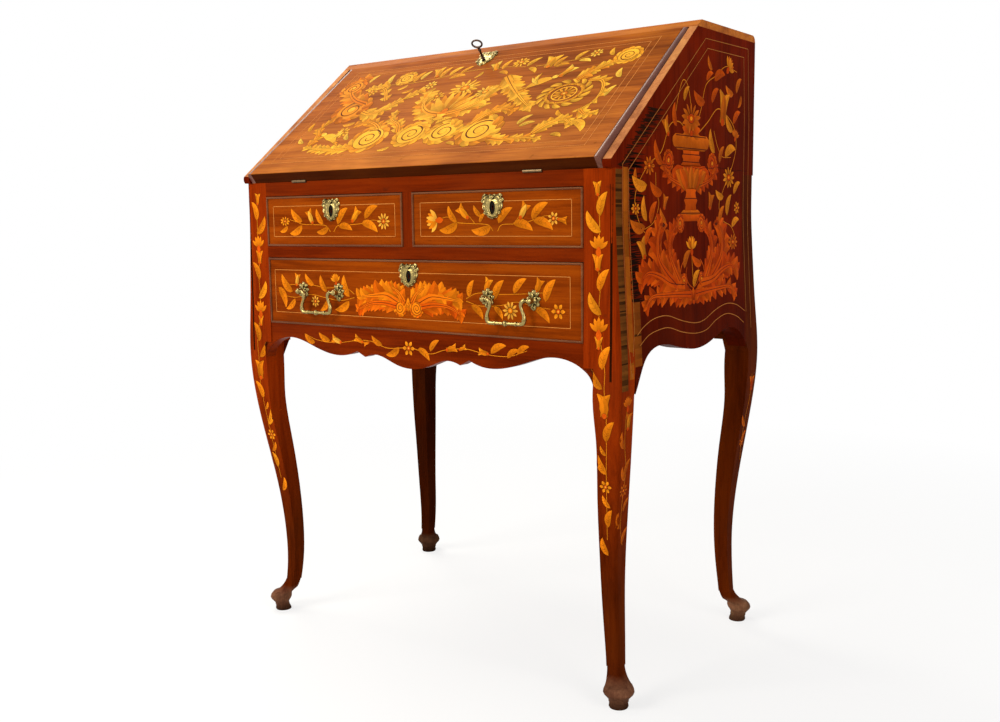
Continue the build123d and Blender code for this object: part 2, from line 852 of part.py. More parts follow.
with BuildPart() as rear_apron:
    block(
        (-post_inner, back - apron_thickness, post_foot),
        (post_inner, back, long_opening_bottom),
    )
save(rear_apron.part, "rear_apron")

with BuildPart() as top_board:
    with BuildSketch(Plane.YZ):
        with BuildLine():
            upper_front = top_front + top_thickness / cheek_rise
            Polyline(
                (back, top_under),
                (top_front, top_under),
                (upper_front, case_height),
                (back - top_thickness, case_height),
            )
            RadiusArc((back - top_thickness, case_height), (back, top_under), top_thickness)
        make_face()
    extrude(amount=case_half, both=True)
save(top_board.part, "top_board")

with BuildPart() as lock_rail:
    with BuildSketch(Plane.YZ):
        drop = fall_thickness - 1
        rail_corners = [
            (top_front, top_under),
            (top_front + drop * math.sin(slope), top_under - drop * math.cos(slope)),
            (top_front + lock_rail_depth, top_under - drop * math.cos(slope)),
            (top_front + lock_rail_depth, top_under),
        ]
        with BuildLine():
            Polyline(*rail_corners, close=True)
        make_face()
    extrude(amount=side_inner, both=True)
    strike_seat(Mode.SUBTRACT)
    # notch behind the strike plate, that the bolt shoots into
    notch_half = fall_bolt_half + mortise_clearance
    shot = fall_length + fall_top_gap + fall_bolt_travel + 2 * mortise_rest
    notch_rear = fall_plane.from_local_coords(Vector(0, shot, fall_bolt_low))
    notch_top = fall_plane.from_local_coords(Vector(0, shot, fall_bolt_high))
    block(
        (fall_lock_x - notch_half, top_front - 1, rail_corners[1][1] - 1),
        (fall_lock_x + notch_half, notch_rear.Y, notch_top.Z),
        Mode.SUBTRACT,
    )
save(lock_rail.part, "lock_rail")

with BuildPart() as strike_plate:
    strike_seat(Mode.ADD)
    strike_slot()
save(strike_plate.part, "strike_plate")

with BuildPart() as back_panel:
    panel_back = back - back_inset
    block((-post_inner, back_face, long_opening_bottom), (post_inner, panel_back, rail_top))
    block((-side_inner, back_face, rail_top), (side_inner, panel_back, top_under))
save(back_panel.part, "back_panel")

with BuildPart() as top_rail:
    block(
        (-post_inner, front, short_opening_top), (post_inner, front + post_depth, rail_top)
    )
    hinge_seats()
    for x in (-hinge_x, hinge_x):
        screws(x, False, running_clearance, Mode.SUBTRACT)
    for x in (-short_lock_x, short_lock_x):
        bolt_mortise(x, short_opening_top)
save(top_rail.part, "top_rail")

with BuildPart() as middle_rail:
    block(
        (-post_inner, front, long_opening_top),
        (post_inner, front + post_depth, short_opening_bottom),
    )
    bolt_mortise(0, long_opening_top)
save(middle_rail.part, "middle_rail")

with BuildPart() as muntin:
    block(
        (-muntin_half, front, short_opening_bottom),
        (muntin_half, front + post_depth, short_opening_top),
    )
save(muntin.part, "muntin")

save(floor_between_posts(rail_top - floor_thickness, rail_top), "desk_floor")
save(
    floor_between_posts(short_opening_bottom - dust_thickness, short_opening_bottom),
    "dust_board",
)

with BuildPart() as drawer_guides:
    guide_top = short_opening_bottom + guide_height
    block(
        (-muntin_half, front + post_depth, short_opening_bottom),
        (muntin_half, back_face, guide_top),
    )
    for hand in (-1, 1):
        edge = sorted((hand * post_inner, hand * side_inner))
        block(
            (edge[0], front + post_depth, short_opening_bottom),
            (edge[1], post_back, guide_top),
        )
save(drawer_guides.part, "drawer_guides")

with BuildPart() as drawer_runners:
    runner_low = long_opening_bottom - runner_height
    for hand in (-1, 1):
        shelf = sorted((hand * runner_inner, hand * side_inner))
        ends = sorted((hand * runner_inner, hand * (post_inner - board_gap)))
        guide = sorted((hand * post_inner, hand * side_inner))
        block(
            (shelf[0], front + post_depth, runner_low),
            (shelf[1], post_back, long_opening_bottom),
        )
        block(
            (ends[0], front + apron_thickness, runner_low),
            (ends[1], back - apron_thickness, long_opening_bottom),
        )
        block(
            (guide[0], front + post_depth, long_opening_bottom),
            (guide[1], post_back, long_opening_bottom + guide_height),
        )
save(drawer_runners.part, "drawer_runners")

# ================================================================ inner gallery
gallery_floor = rail_top + gallery_board
shelf_low = gallery_floor + gallery_drawer_height
shelf_top = shelf_low + gallery_board
gallery_top = top_under - gallery_board
gallery_inner = side_inner - gallery_end
gallery_y = top_front + lock_rail_depth + board_gap
partition_y = gallery_y + partition_setback


def make_partition(x):
    """Upright partition between two pigeonholes, hollowed at the front."""
    middle = (shelf_top + gallery_top) / 2
    with BuildPart() as partition:
        with BuildSketch(Plane.YZ.offset(x - gallery_board / 2)):
            with BuildLine():
                ThreePointArc(
                    (partition_y, shelf_top),
                    (partition_y + partition_hollow_share * (gallery_top - shelf_top), middle),
                    (partition_y, gallery_top),
                )
                Polyline(
                    (partition_y, gallery_top),
                    (back_face, gallery_top),
                    (back_face, shelf_top),
                    (partition_y, shelf_top),
                )
            make_face()
        extrude(amount=gallery_board)
    return partition.part


gallery_corners = (
    ((-side_inner, gallery_y, rail_top), (side_inner, back_face, gallery_floor)),
    ((-side_inner, gallery_y, gallery_floor), (-gallery_inner, back_face, gallery_top)),
    ((gallery_inner, gallery_y, gallery_floor), (side_inner, back_face, gallery_top)),
    ((-gallery_inner, gallery_y, shelf_low), (gallery_inner, back_face, shelf_top)),
    ((-side_inner, gallery_y, gallery_top), (side_inner, back_face, top_under)),
)
save(Compound([make_board(*pair) for pair in gallery_corners]), "gallery_frame")

partitions = [make_partition(step * pigeonhole_pitch) for step in (-1.5, -0.5, 0.5, 1.5)]
partitions += [
    make_board(
        (hand * gallery_drawer_inner - gallery_board / 2, partition_y, gallery_floor),
        (hand * gallery_drawer_inner + gallery_board / 2, back_face, shelf_low),
    )
    for hand in (-1, 1)
]
save(Compound(partitions), "gallery_partitions")

# ================================================================ fall
with BuildPart() as fall_panel:
    with BuildSketch(fall_plane):
        Rectangle(2 * fall_half, fall_length, align=(Align.CENTER, Align.MIN))
    extrude(amount=fall_thickness)
    block_on(
        fall_plane,
        (fall_lock_x - fall_lock_width / 2, fall_length - fall_lock_height, 0),
        (fall_lock_x + fall_lock_width / 2, fall_length, fall_lock_depth),
        Mode.SUBTRACT,
    )
    keyhole = fall_plane.from_local_coords(Vector(fall_lock_x, fall_lock_y, 0))
    rod(keyhole, fall_out, keyhole_radius, fall_thickness, Mode.SUBTRACT)
    block_on(
        fall_plane,
        (fall_lock_x - keyhole_radius / 2 - 0.4, fall_lock_y - keyhole_slot - 0.4, 0),
        (fall_lock_x + keyhole_radius / 2 + 0.4, fall_lock_y, fall_thickness),
        Mode.SUBTRACT,
    )
    for x in (-hinge_x, hinge_x):
        half = hinge_length / 2 + knuckle_clearance
        block_on(
            fall_plane,
            (x - hinge_length / 2, 0, 0),
            (x + hinge_length / 2, hinge_leaf, leaf_thickness),
            Mode.SUBTRACT,
        )
        hinge_rods(x, knuckle_radius + 1.5 * knuckle_clearance, ((-half, half),), Mode.SUBTRACT)
        screws(x, True, running_clearance, Mode.SUBTRACT)
save(fall_panel.part, "fall_panel")


def make_fall_bead(hand):
    """Rounded bead along one edge of the fall."""
    with BuildPart() as bead:
        with BuildSketch(fall_plane):
            with Locations((hand * (fall_half + fall_bead / 2), 0)):
                Rectangle(fall_bead, fall_length, align=(Align.CENTER, Align.MIN))
        extrude(amount=fall_thickness)
        outward = Axis(fall_plane.origin, fall_out)
        along = bead.faces().sort_by(outward)[-1].edges().filter_by(
            Axis(fall_plane.origin, fall_up)
        )
        edges = along.sort_by(Axis.X)
        fillet(edges[-1] if hand > 0 else edges[0], fall_bead - 3)
        along = bead.faces().sort_by(outward)[-1].edges().filter_by(
            Axis(fall_plane.origin, fall_up)
        )
        edges = along.sort_by(Axis.X)
        fillet(edges[0] if hand > 0 else edges[-1], fall_quirk_radius)
    return bead.part


save(Compound([make_fall_bead(-1), make_fall_bead(1)]), "fall_edge_beads")
save(both_hands(make_case_leaf, hinge_x), "hinge_case_leaves")
save(both_hands(make_fall_leaf, hinge_x), "hinge_fall_leaves")

for on_fall, place in ((False, "case"), (True, "fall")):
    with BuildPart() as screw_set:
        for x in (-hinge_x, hinge_x):
            screws(x, on_fall)
    save(screw_set.part, f"hinge_{place}_screws")

with BuildPart() as fall_lock:
    lock_low = (fall_lock_x - fall_lock_width / 2, fall_length - fall_lock_height, 0)
    lock_high = (fall_lock_x + fall_lock_width / 2, fall_length, fall_lock_depth)
    block_on(fall_plane, lock_low, lock_high)
    block_on(
        fall_plane,
        tuple(value + lock_plate for value in lock_low),
        (lock_high[0] - lock_plate, lock_high[1] - lock_plate, lock_high[2]),
        Mode.SUBTRACT,
    )
    block_on(
        fall_plane,
        (
            fall_lock_x - fall_bolt_half - bolt_clearance,
            fall_length - 2 * lock_plate,
            fall_bolt_low - bolt_clearance,
        ),
        (
            fall_lock_x + fall_bolt_half + bolt_clearance,
            fall_length + 1,
            fall_bolt_high + bolt_clearance,
        ),
        Mode.SUBTRACT,
    )
    rod(keyhole, fall_out, key_radius + running_clearance, lock_plate, Mode.SUBTRACT)
save(fall_lock.part, "fall_lock")

with BuildPart() as fall_lock_bolt:
    block_on(
        fall_plane,
        (fall_lock_x - fall_bolt_half, fall_length - fall_bolt_length - bolt_clearance, fall_bolt_low),
        (fall_lock_x + fall_bolt_half, fall_length - bolt_clearance, fall_bolt_high),
    )
save(fall_lock_bolt.part, "fall_lock_bolt")

escutcheon_place = Plane(
    origin=keyhole + fall_thickness * fall_out, x_dir=(1, 0, 0), z_dir=fall_out
)
save(
    make_escutcheon(escutcheon_place, fall_escutcheon_width, fall_escutcheon_height, 5.5),
    "fall_escutcheon",
)

with BuildPart() as key:
    bow_height = fall_thickness + key_reach
    rod(keyhole + 0.2 * fall_out, fall_out, key_radius, bow_height - key_bow_half_height)
    rod(keyhole + (fall_thickness + 4) * fall_out, fall_out, key_radius + 1.2, 2.5)
    rod(
        keyhole + (bow_height - key_bow_half_height - 4) * fall_out,
        fall_out,
        key_radius + 0.8,
        2.5,
    )
    block_on(
        fall_plane,
        (fall_lock_x - key_bit_thickness / 2, fall_lock_y - key_bit, lock_plate + 2),
        (fall_lock_x + key_bit_thickness / 2, fall_lock_y, fall_lock_depth - 1.5),
    )
    bow_plane = Plane(
        origin=keyhole + bow_height * fall_out, x_dir=(1, 0, 0), z_dir=-1 * fall_up
    )
    with BuildSketch(bow_plane):
        Ellipse(key_bow_half_width + key_wire, key_bow_half_height + key_wire)
        Ellipse(
            key_bow_half_width - key_wire, key_bow_half_height - key_wire, mode=Mode.SUBTRACT
        )
    extrude(amount=key_wire, both=True)
save(key.part, "key")

# ================================================================ drawers and handles
short_opening = (muntin_half, post_inner, short_opening_bottom, short_opening_top)
save_drawer("short_drawer_right", short_opening, short_lock_x)
save_drawer(
    "short_drawer_left",
    (-post_inner, -muntin_half, short_opening_bottom, short_opening_top),
    -short_lock_x,
)
post_places = [
    (centre + hand * bail_spacing / 2, hand)
    for centre in (-bail_centre, bail_centre)
    for hand in (-1, 1)
]
save_drawer(
    "long_drawer",
    (-post_inner, post_inner, long_opening_bottom, long_opening_top),
    0,
    [x for x, hand in post_places],
)
save(Compound([make_handle_post(x, hand) for x, hand in post_places]), "handle_posts")
save(Compound([make_nut(x) for x, hand in post_places]), "handle_nuts")
save(make_bail(bail_centre), "bail_right")
save(make_bail(-bail_centre), "bail_left")

for hand, place in ((-1, "left"), (1, "right")):
    ends = sorted(
        (
            hand * (gallery_drawer_inner + gallery_board / 2 + drawer_gap),
            hand * (gallery_inner - drawer_gap),
        )
    )
    z_low, z_high = gallery_floor + drawer_run_gap, shelf_low - drawer_gap
    box_front = gallery_y + small_front
    box_end = back_face - small_rear_gap
    inner = (ends[0] + small_side, ends[1] - small_side)
    box_top = z_high - drawer_run_gap - 3
    save(
        make_board((ends[0], gallery_y, z_low), (ends[1], box_front, z_high)),
        f"inner_drawer_{place}_front",
    )
    save(
        Compound(
            [
                make_board((ends[0], box_front, z_low), (inner[0], box_end, box_top)),
                make_board((inner[1], box_front, z_low), (ends[1], box_end, box_top)),
                make_board(
                    (inner[0], box_front, z_low), (inner[1], box_end, z_low + small_bottom)
                ),
                make_board(
                    (inner[0], box_end - small_side, z_low + small_bottom),
                    (inner[1], box_end, box_top),
                ),
            ]
        ),
        f"inner_drawer_{place}_box",
    )
    ball_points = [
        (
            knob_radius * math.cos(math.radians(angle)),
            knob_reach - knob_radius + knob_radius * math.sin(math.radians(angle)),
        )
        for angle in (-60, -20, 20, 60)
    ]
    with BuildPart() as knob:
        with BuildSketch(Plane.XY):
            with BuildLine():
                Polyline(
                    (0, 0),
                    (knob_neck, 0),
                    (knob_neck, ball_points[0][1]),
                    *ball_points,
                    (0, knob_reach),
                    close=True,
                )
            make_face()
        revolve(axis=Axis.Y)
    turned = Plane(
        origin=((ends[0] + ends[1]) / 2, gallery_y, (z_low + z_high) / 2),
        x_dir=(1, 0, 0),
        z_dir=(0, 0, -1),
    )
    save(turned * knob.part, f"inner_drawer_{place}_knob")
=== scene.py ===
"""Finishes for a slant-front marquetry escritoire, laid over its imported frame."""

import json
import math
import random

import bmesh
import bpy
from mathutils import Matrix, Vector
from mathutils.bvhtree import BVHTree


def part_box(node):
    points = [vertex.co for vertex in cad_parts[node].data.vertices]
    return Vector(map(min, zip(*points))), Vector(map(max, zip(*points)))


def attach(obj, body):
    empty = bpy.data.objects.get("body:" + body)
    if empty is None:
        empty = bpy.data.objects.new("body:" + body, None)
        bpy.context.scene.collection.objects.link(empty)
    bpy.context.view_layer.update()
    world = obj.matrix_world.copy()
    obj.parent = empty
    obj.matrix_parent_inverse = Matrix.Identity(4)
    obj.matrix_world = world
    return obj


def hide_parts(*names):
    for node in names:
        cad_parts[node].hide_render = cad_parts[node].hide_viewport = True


bl_info = {
    "name": "Marquetry escritoire",
    "version": (1, 0, 0),
    "blender": (4, 5, 0),
    "location": "View3D > Sidebar > Escritoire",
    "description": "Dresses a slant-front desk in polished veneer, floral inlay and brass",
    "category": "Object",
}

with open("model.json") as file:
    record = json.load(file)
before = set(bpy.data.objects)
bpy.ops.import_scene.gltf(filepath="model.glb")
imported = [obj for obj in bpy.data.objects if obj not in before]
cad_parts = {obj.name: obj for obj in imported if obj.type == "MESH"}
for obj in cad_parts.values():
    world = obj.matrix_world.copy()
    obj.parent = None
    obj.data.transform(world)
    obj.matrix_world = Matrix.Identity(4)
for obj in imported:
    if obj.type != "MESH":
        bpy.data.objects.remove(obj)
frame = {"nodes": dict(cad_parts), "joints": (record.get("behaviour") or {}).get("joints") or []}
NODES = frame["nodes"]
JOINTS = {joint["name"]: joint for joint in frame["joints"]}
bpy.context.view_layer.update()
MM = 0.001
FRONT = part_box("top_rail")[0].y  # the plane of the rails, posts and apron
HINGE = Vector(JOINTS["fall_hinge"]["pos_m"])
FALL_UP = Vector(JOINTS["fall_bolt_slide"]["axis"]).normalized()  # up the slope of the fall
FALL_OUT = Vector((0, -FALL_UP.z, FALL_UP.y))  # out of the fall's face
FALL_THICK = 0.019
OUTER_DRAWERS = ("short_drawer_left", "short_drawer_right", "long_drawer")
SIDES = ((1, "right"), (-1, "left"))


# ---------------------------------------------------------------- properties
def colour(name, text, value):
    """A colour property of the panel."""
    return bpy.props.FloatVectorProperty(
        name=name, description=text, subtype="COLOR", size=3, min=0, max=1, default=value
    )


def number(name, text, value, **more):
    """A number property of the panel, which may have a unit."""
    return bpy.props.FloatProperty(
        name=name, description=text, default=value, min=0, precision=4, **more
    )


class VeneerProperties(bpy.types.PropertyGroup):
    """Colours of the veneers and of the plain wood."""

    front: colour("Front veneer", "Drawer fronts", (0.240, 0.037, 0.0013))
    rail: colour("Rail veneer", "Rails, posts and apron", (0.155, 0.0150, 0.0008))
    side: colour("Side veneer", "The case's sides", (0.105, 0.0068, 0.0005))
    fall: colour("Fall veneer", "The writing fall's outer face", (0.385, 0.105, 0.014))
    # The fall edge colour is painted shade: near black for the bottom edge that faces away from the light,
    # and used on the back too.
    edge: colour("Fall edge", "Plain edges and back of the fall", (0.050, 0.0085, 0.0012))
    band: colour("Crossbanding", "Borders with the grain across", (0.300, 0.092, 0.014))
    cheek: colour("Cheeks", "Sloping front edges of the sides", (0.480, 0.180, 0.060))
    bead: colour("Cock beads", "Beads round the drawers", (0.150, 0.046, 0.018))
    strip: colour("Fall beads", "Beads down the fall's edges", (0.120, 0.040, 0.030))
    foot: colour("Feet", "Worn pads under the legs", (0.170, 0.072, 0.038))
    leg: colour("Legs", "Lower legs, below the inlay", (0.082, 0.0110, 0.0008))
    oak: colour("Plain oak", "Drawer boxes, boards and inner fittings", (0.300, 0.150, 0.060))


class InlayProperties(bpy.types.PropertyGroup):
    """Colours and cut of the inlaid woods."""

    box: colour("Boxwood", "The palest flowers and the stringing", (0.960, 0.410, 0.040))
    satin: colour("Satinwood", "Yellow leaves", (0.920, 0.285, 0.010))
    pear: colour("Pearwood", "Orange leaves and flowers", (0.820, 0.215, 0.006))
    plum: colour("Plumwood", "Red-brown scrolls and urn", (0.640, 0.088, 0.004))
    ink: colour("Scorched wood", "Veins and engraved lines", (0.075, 0.012, 0.004))
    line: colour("Stringing wood", "The thin border lines", (0.680, 0.235, 0.045))
    stand: number("Stand", "How far the inlay stands over the ground", 0.00012, unit="LENGTH")
    string: number("Stringing", "Width of a stringing line", 0.0009, unit="LENGTH")


class MetalProperties(bpy.types.PropertyGroup):
    """Colours of the brass and iron."""

    brass: colour("Brass", "Escutcheons, bails and rosettes", (0.370, 0.275, 0.095))
    tarnish: colour("Tarnish", "Brass in the hollows", (0.018, 0.011, 0.004))
    hinge: colour("Hinge brass", "Dull brass of hinges", (0.190, 0.120, 0.060))
    iron: colour("Iron", "Key and locks", (0.070, 0.040, 0.030))


class StageProperties(bpy.types.PropertyGroup):
    """Floor and light."""

    floor: colour("Floor", "The pale floor", (0.90, 0.89, 0.87))
    reach: number("Floor reach", "Half the floor's side", 12.0, unit="LENGTH")
    ambient: number("Ambient light", "Strength of the world's light on the desk", 0.36)
    key: number("Key lamp", "Power of the lamp before the desk, in watts", 80)
    fall_glow: number("Fall lamp", "Power of the lamp over the fall, in watts", 62)
    fill: number("Fill lamp", "Power of the lamp at the right side, in watts", 34)


# ---------------------------------------------------------------- node helpers
class Nodes:
    """Short way to place and link nodes in one tree."""

    def __init__(self, tree):
        self.tree = tree

    def feed(self, socket, value):
        """Links a socket to another, or sets its value."""
        if isinstance(value, bpy.types.NodeSocket):
            self.tree.links.new(value, socket)
        elif socket.type == "RGBA":
            socket.default_value = (*tuple(value)[:3], 1)
        else:
            socket.default_value = value

    def add(self, kind, inputs=None, **settings):
        """A node with its settings and its inputs, linked or set."""
        node = self.tree.nodes.new(kind)
        for key, value in settings.items():
            setattr(node, key, value)
        for key, value in (inputs or {}).items():
            self.feed(node.inputs[key], value)
        return node

    def math(self, operation, *values):
        """Result of a Math node."""
        return self.add("ShaderNodeMath", dict(enumerate(values)), operation=operation).outputs[0]

    def blend(self, factor, first, second, mode="MIX"):
        """Result of a colour Mix node."""
        mixed = {0: factor, 6: first, 7: second}
        return self.add("ShaderNodeMix", mixed, data_type="RGBA", blend_type=mode).outputs[2]

    def span(self, value, low, high, start=0.0, end=1.0):
        """A value mapped from one range to another, and clamped."""
        mapped = {0: value, 1: low, 2: high, 3: start, 4: end}
        return self.add("ShaderNodeMapRange", mapped).outputs[0]

    def noise(self, vector, scale, detail=2.0, roughness=0.5, distortion=0.0):
        """A noise value."""
        given = {"Vector": vector, "Scale": scale, "Detail": detail, "Roughness": roughness}
        return self.add("ShaderNodeTexNoise", {**given, "Distortion": distortion}).outputs[0]

    def stretch(self, vector, scale, turn=(0, 0, 0)):
        """A vector turned and scaled."""
        given = {"Vector": vector, "Rotation": turn, "Scale": scale}
        return self.add("ShaderNodeMapping", given).outputs[0]

    def place(self, output="Object"):
        """The object's own coordinates, or another output of that node."""
        return self.add("ShaderNodeTexCoord").outputs[output]

    def height(self):
        """Height over the floor, in metres."""
        return self.add("ShaderNodeSeparateXYZ", {0: self.place()}).outputs["Z"]

    def vector(self, operation, *values, output="Value"):
        """Result of a Vector Math node."""
        node = self.add("ShaderNodeVectorMath", dict(enumerate(values)), operation=operation)
        return node.outputs[output]

    def bump(self, strength, distance, height, **more):
        """A normal that follows a height."""
        given = {"Strength": strength, "Distance": distance, "Height": height}
        return self.add("ShaderNodeBump", {**given, **more}).outputs[0]


def group(name, given, found):
    """An empty shader node group with its sockets, as (kind, value) by name, and its Nodes."""
    tree = bpy.data.node_groups.new(name, "ShaderNodeTree")
    for way, sockets in (("INPUT", given), ("OUTPUT", found)):
        for label, (kind, value) in sockets.items():
            kind = f"NodeSocket{kind}"
            socket = tree.interface.new_socket(label, in_out=way, socket_type=kind)
            if value is not None:
                socket.default_value = value
    make = Nodes(tree)
    return make, make.add("NodeGroupInput").outputs, make.add("NodeGroupOutput").inputs


def make_figure_group():
    """Wood figure: fibres, pores, cloudy patches and streaks along the vector's X."""
    make, given, out = group(
        "wood_figure",
        {
            "Vector": ("Vector", None),
            "Ground": ("Color", (0.2, 0.05, 0.01, 1)),
            "Contrast": ("Float", 0.5),
        },
        {"Color": ("Color", None), "Height": ("Float", None)},
    )
    vector, ground = given["Vector"], given["Ground"]
    fibres = make.noise(make.stretch(vector, (3, 90, 90)), 4, 5, 0.6, 0.4)
    streaks = make.noise(make.stretch(vector, (1.5, 16, 16)), 3, 3, 0.5, 0.8)
    clouds = make.noise(make.stretch(vector, (2.5, 5, 5)), 1.5, 2)
    pores = make.noise(make.stretch(vector, (60, 900, 900)), 1, 2, 0.7)
    fine = make.span(fibres, 0.3, 0.7, -0.5, 0.5)
    broad = make.span(streaks, 0.35, 0.65, -0.6, 0.6)
    tone = make.math("ADD", fine, broad)
    tone = make.math("ADD", tone, make.span(clouds, 0.3, 0.7, -0.5, 0.5))
    tone = make.math("MULTIPLY", tone, given["Contrast"])
    dark = make.blend(1.0, ground, (0.36, 0.26, 0.30), "MULTIPLY")
    light = make.blend(1.0, ground, (1.45, 1.75, 1.6), "MULTIPLY")
    shaded = make.blend(make.span(tone, -1, 0, 1, 0), ground, dark)
    shaded = make.blend(make.span(tone, 0, 1, 0, 1), shaded, light)
    pitted = make.span(pores, 0.62, 0.72, 0, 0.45)
    make.feed(out["Color"], make.blend(pitted, shaded, dark))
    height = make.math("SUBTRACT", make.math("MULTIPLY", fibres, 0.3), pitted)
    make.feed(out["Height"], height)


def make_age_group():
    """Age: grime in broad patches, fine scratches and small bruises."""
    make, given, out = group(
        "surface_age",
        {
            "Vector": ("Vector", None),
            "Color": ("Color", (0.2, 0.05, 0.01, 1)),
            "Amount": ("Float", 0.5),
            "Gloss": ("Float", 0.3),
        },
        {"Color": ("Color", None), "Roughness": ("Float", None), "Height": ("Float", None)},
    )
    vector, amount = given["Vector"], given["Amount"]
    patches = make.noise(vector, 7, 4, 0.6)
    spots = make.noise(vector, 60, 2, 0.5)
    scratches = make.noise(make.stretch(vector, (400, 22, 30), (0.4, 0.3, 0.6)), 1, 2, 0.5)
    bruise = make.math("MULTIPLY", make.span(spots, 0.70, 0.78), amount)
    scored = make.math("MULTIPLY", make.span(scratches, 0.74, 0.80), amount)
    grime = make.math("MULTIPLY", make.span(patches, 0.45, 0.75), amount)
    shaded = given["Color"]
    for mask, share, tint in (
        (grime, 0.45, (0.035, 0.012, 0.005)),
        (bruise, 0.5, (0.02, 0.007, 0.003)),
        (scored, 0.18, (0.42, 0.17, 0.06)),
    ):
        shaded = make.blend(make.math("MULTIPLY", mask, share), shaded, tint)
    make.feed(out["Color"], shaded)
    rough = make.math("ADD", given["Gloss"], make.math("MULTIPLY", patches, 0.16))
    rough = make.math("ADD", rough, make.math("MULTIPLY", bruise, 0.2))
    make.feed(out["Roughness"], rough)
    dents = make.math("MULTIPLY", make.math("ADD", bruise, scored), -1)
    make.feed(out["Height"], dents)


GROUPS = {"wood_figure": make_figure_group, "surface_age": make_age_group}


def placed(make, name, inputs):
    """Outputs of a shared group, made at its first use and placed in a material."""
    if name not in bpy.data.node_groups:
        GROUPS[name]()
    return make.add("ShaderNodeGroup", inputs, node_tree=bpy.data.node_groups[name]).outputs


# ---------------------------------------------------------------- materials
ALONG_X = (0, 0, 0)
ALONG_Z = (0, math.pi / 2, 0)
ALONG_Y = (0, 0, math.pi / 2)
POLISH_TINT = (1.0, 0.55, 0.22)  # old shellac gives a warm gloss
ARRIS = 0.0006  # radius of a softened edge
PORE_DEPTH, WEAR_DEPTH = 0.0004, 0.0003  # of the relief in wood and in metal
VENEER = 0.0012  # thickness of the fall's veneer
# Heights between which one colour gives way to the next, in metres.
# Painted shade darkens and reddens the fall's face between these heights.
FALL_PAINTED_SHADE = (0.80, 0.96)
# Painted shade darkens the sides below these heights.
SIDE_SHADE_FADES = (0.52, 0.70)
LEG_LIGHTENS = (0.16, 0.46)
PAD_ENDS = (0.032, 0.046)
BASE_ENDS = (0.018, 0.024)
SOLE_ENDS = (0.004, 0.014)
MADE = {}  # materials that the pieces share, by name


def shade(tint, amount):
    """A colour made darker or lighter."""
    return tuple(min(1.0, c * amount) for c in tint)


def start_material(name, **sockets):
    """A material with its Nodes and its Principled shader, with plain values set."""
    made = bpy.data.materials.new(name)
    made.use_nodes = True
    make = Nodes(made.node_tree)
    shader = made.node_tree.nodes["Principled BSDF"]
    for key, value in sockets.items():
        make.feed(shader.inputs[key.replace("_", " ")], value)
    return made, make, shader


def polished(name, figure_inputs, sheen, gloss, age):
    """A wood: its figure, aged and scratched under polish, with softened arrises.

    The figure's inputs come from a function of the material's Nodes.
    """
    made, make, shader = start_material(
        name, Specular_IOR_Level=sheen, Specular_Tint=POLISH_TINT
    )
    figure = placed(make, "wood_figure", figure_inputs(make))
    given = {"Vector": make.place(), "Color": figure["Color"], "Amount": age, "Gloss": gloss}
    aged = placed(make, "surface_age", given)
    make.feed(shader.inputs["Base Color"], aged["Color"])
    make.feed(shader.inputs["Roughness"], aged["Roughness"])
    soft = make.add("ShaderNodeBevel", {"Radius": ARRIS}, samples=4).outputs[0]
    relief = make.math("ADD", make.math("MULTIPLY", figure["Height"], 0.5), aged["Height"])
    make.feed(shader.inputs["Normal"], make.bump(0.35, PORE_DEPTH, relief, Normal=soft))
    return made


def make_wood(name, ground, turn=ALONG_X, contrast=0.6, gloss=0.24, age=0.5, sheen=0.012):
    """Polished or plain wood with its grain along one axis.

    The ground is a colour, or a function that makes one from the material's Nodes.
    """

    def figure_inputs(make):
        grain = make.stretch(make.place(), (1, 1, 1), turn)
        tint = ground(make) if callable(ground) else ground
        return {"Vector": grain, "Ground": tint, "Contrast": contrast}

    return polished(name, figure_inputs, sheen, gloss, age)


def make_inlay_wood(name):
    """Inlaid woods: the colour is cut into each piece, with its own fine grain."""

    def figure_inputs(make):
        grain = make.stretch(make.place(), (1.6, 1.6, 1.6), (0, 0.5, 0.4))
        tint = make.add("ShaderNodeAttribute", attribute_name="inlay").outputs["Color"]
        return {"Vector": grain, "Ground": tint, "Contrast": 0.22}

    return polished(name, figure_inputs, sheen=0.003, gloss=0.26, age=0.25)


def fall_ground(face, edge):
    """Ground of the fall: veneer that darkens and reddens up its face as painted shade, and plain wood on
    edges and back, made near black as painted shade.
    """
    painted_shade_face = (face[0] * 0.80, face[1] * 0.70, face[2] * 0.5)

    def ground(make):
        away = make.vector("SUBTRACT", make.place(), tuple(HINGE), output="Vector")
        depth = make.vector("DOT_PRODUCT", away, tuple(FALL_OUT))
        on_face = make.span(depth, FALL_THICK - VENEER, FALL_THICK - VENEER / 2)
        # Painted shade: the face darkens and reddens towards the top of the fall.
        veneer = make.blend(make.span(make.height(), *FALL_PAINTED_SHADE), face, painted_shade_face)
        # Edges and back take the near-black edge colour, which is painted shade.
        return make.blend(on_face, edge, veneer)

    return ground


def side_ground(veneer, cheek):
    """Ground of a side: veneer, darkened over the knee as painted shade, and paler wood beside the fall."""

    def ground(make):
        facing = make.vector("DOT_PRODUCT", make.place("Normal"), tuple(FALL_OUT))
        clouds = make.noise(make.place(), 5.5, 3, 0.6)
        tint = make.blend(make.span(clouds, 0.5, 0.72, 0, 0.8), veneer, shade(veneer, 1.8))
        # Painted shade: the side darkens to 0.3 of its veneer below these heights.
        tint = make.blend(make.span(make.height(), *SIDE_SHADE_FADES, 0.6, 0), tint, shade(veneer, 0.3))
        return make.blend(make.span(facing, 0.92, 0.97), tint, cheek)

    return ground


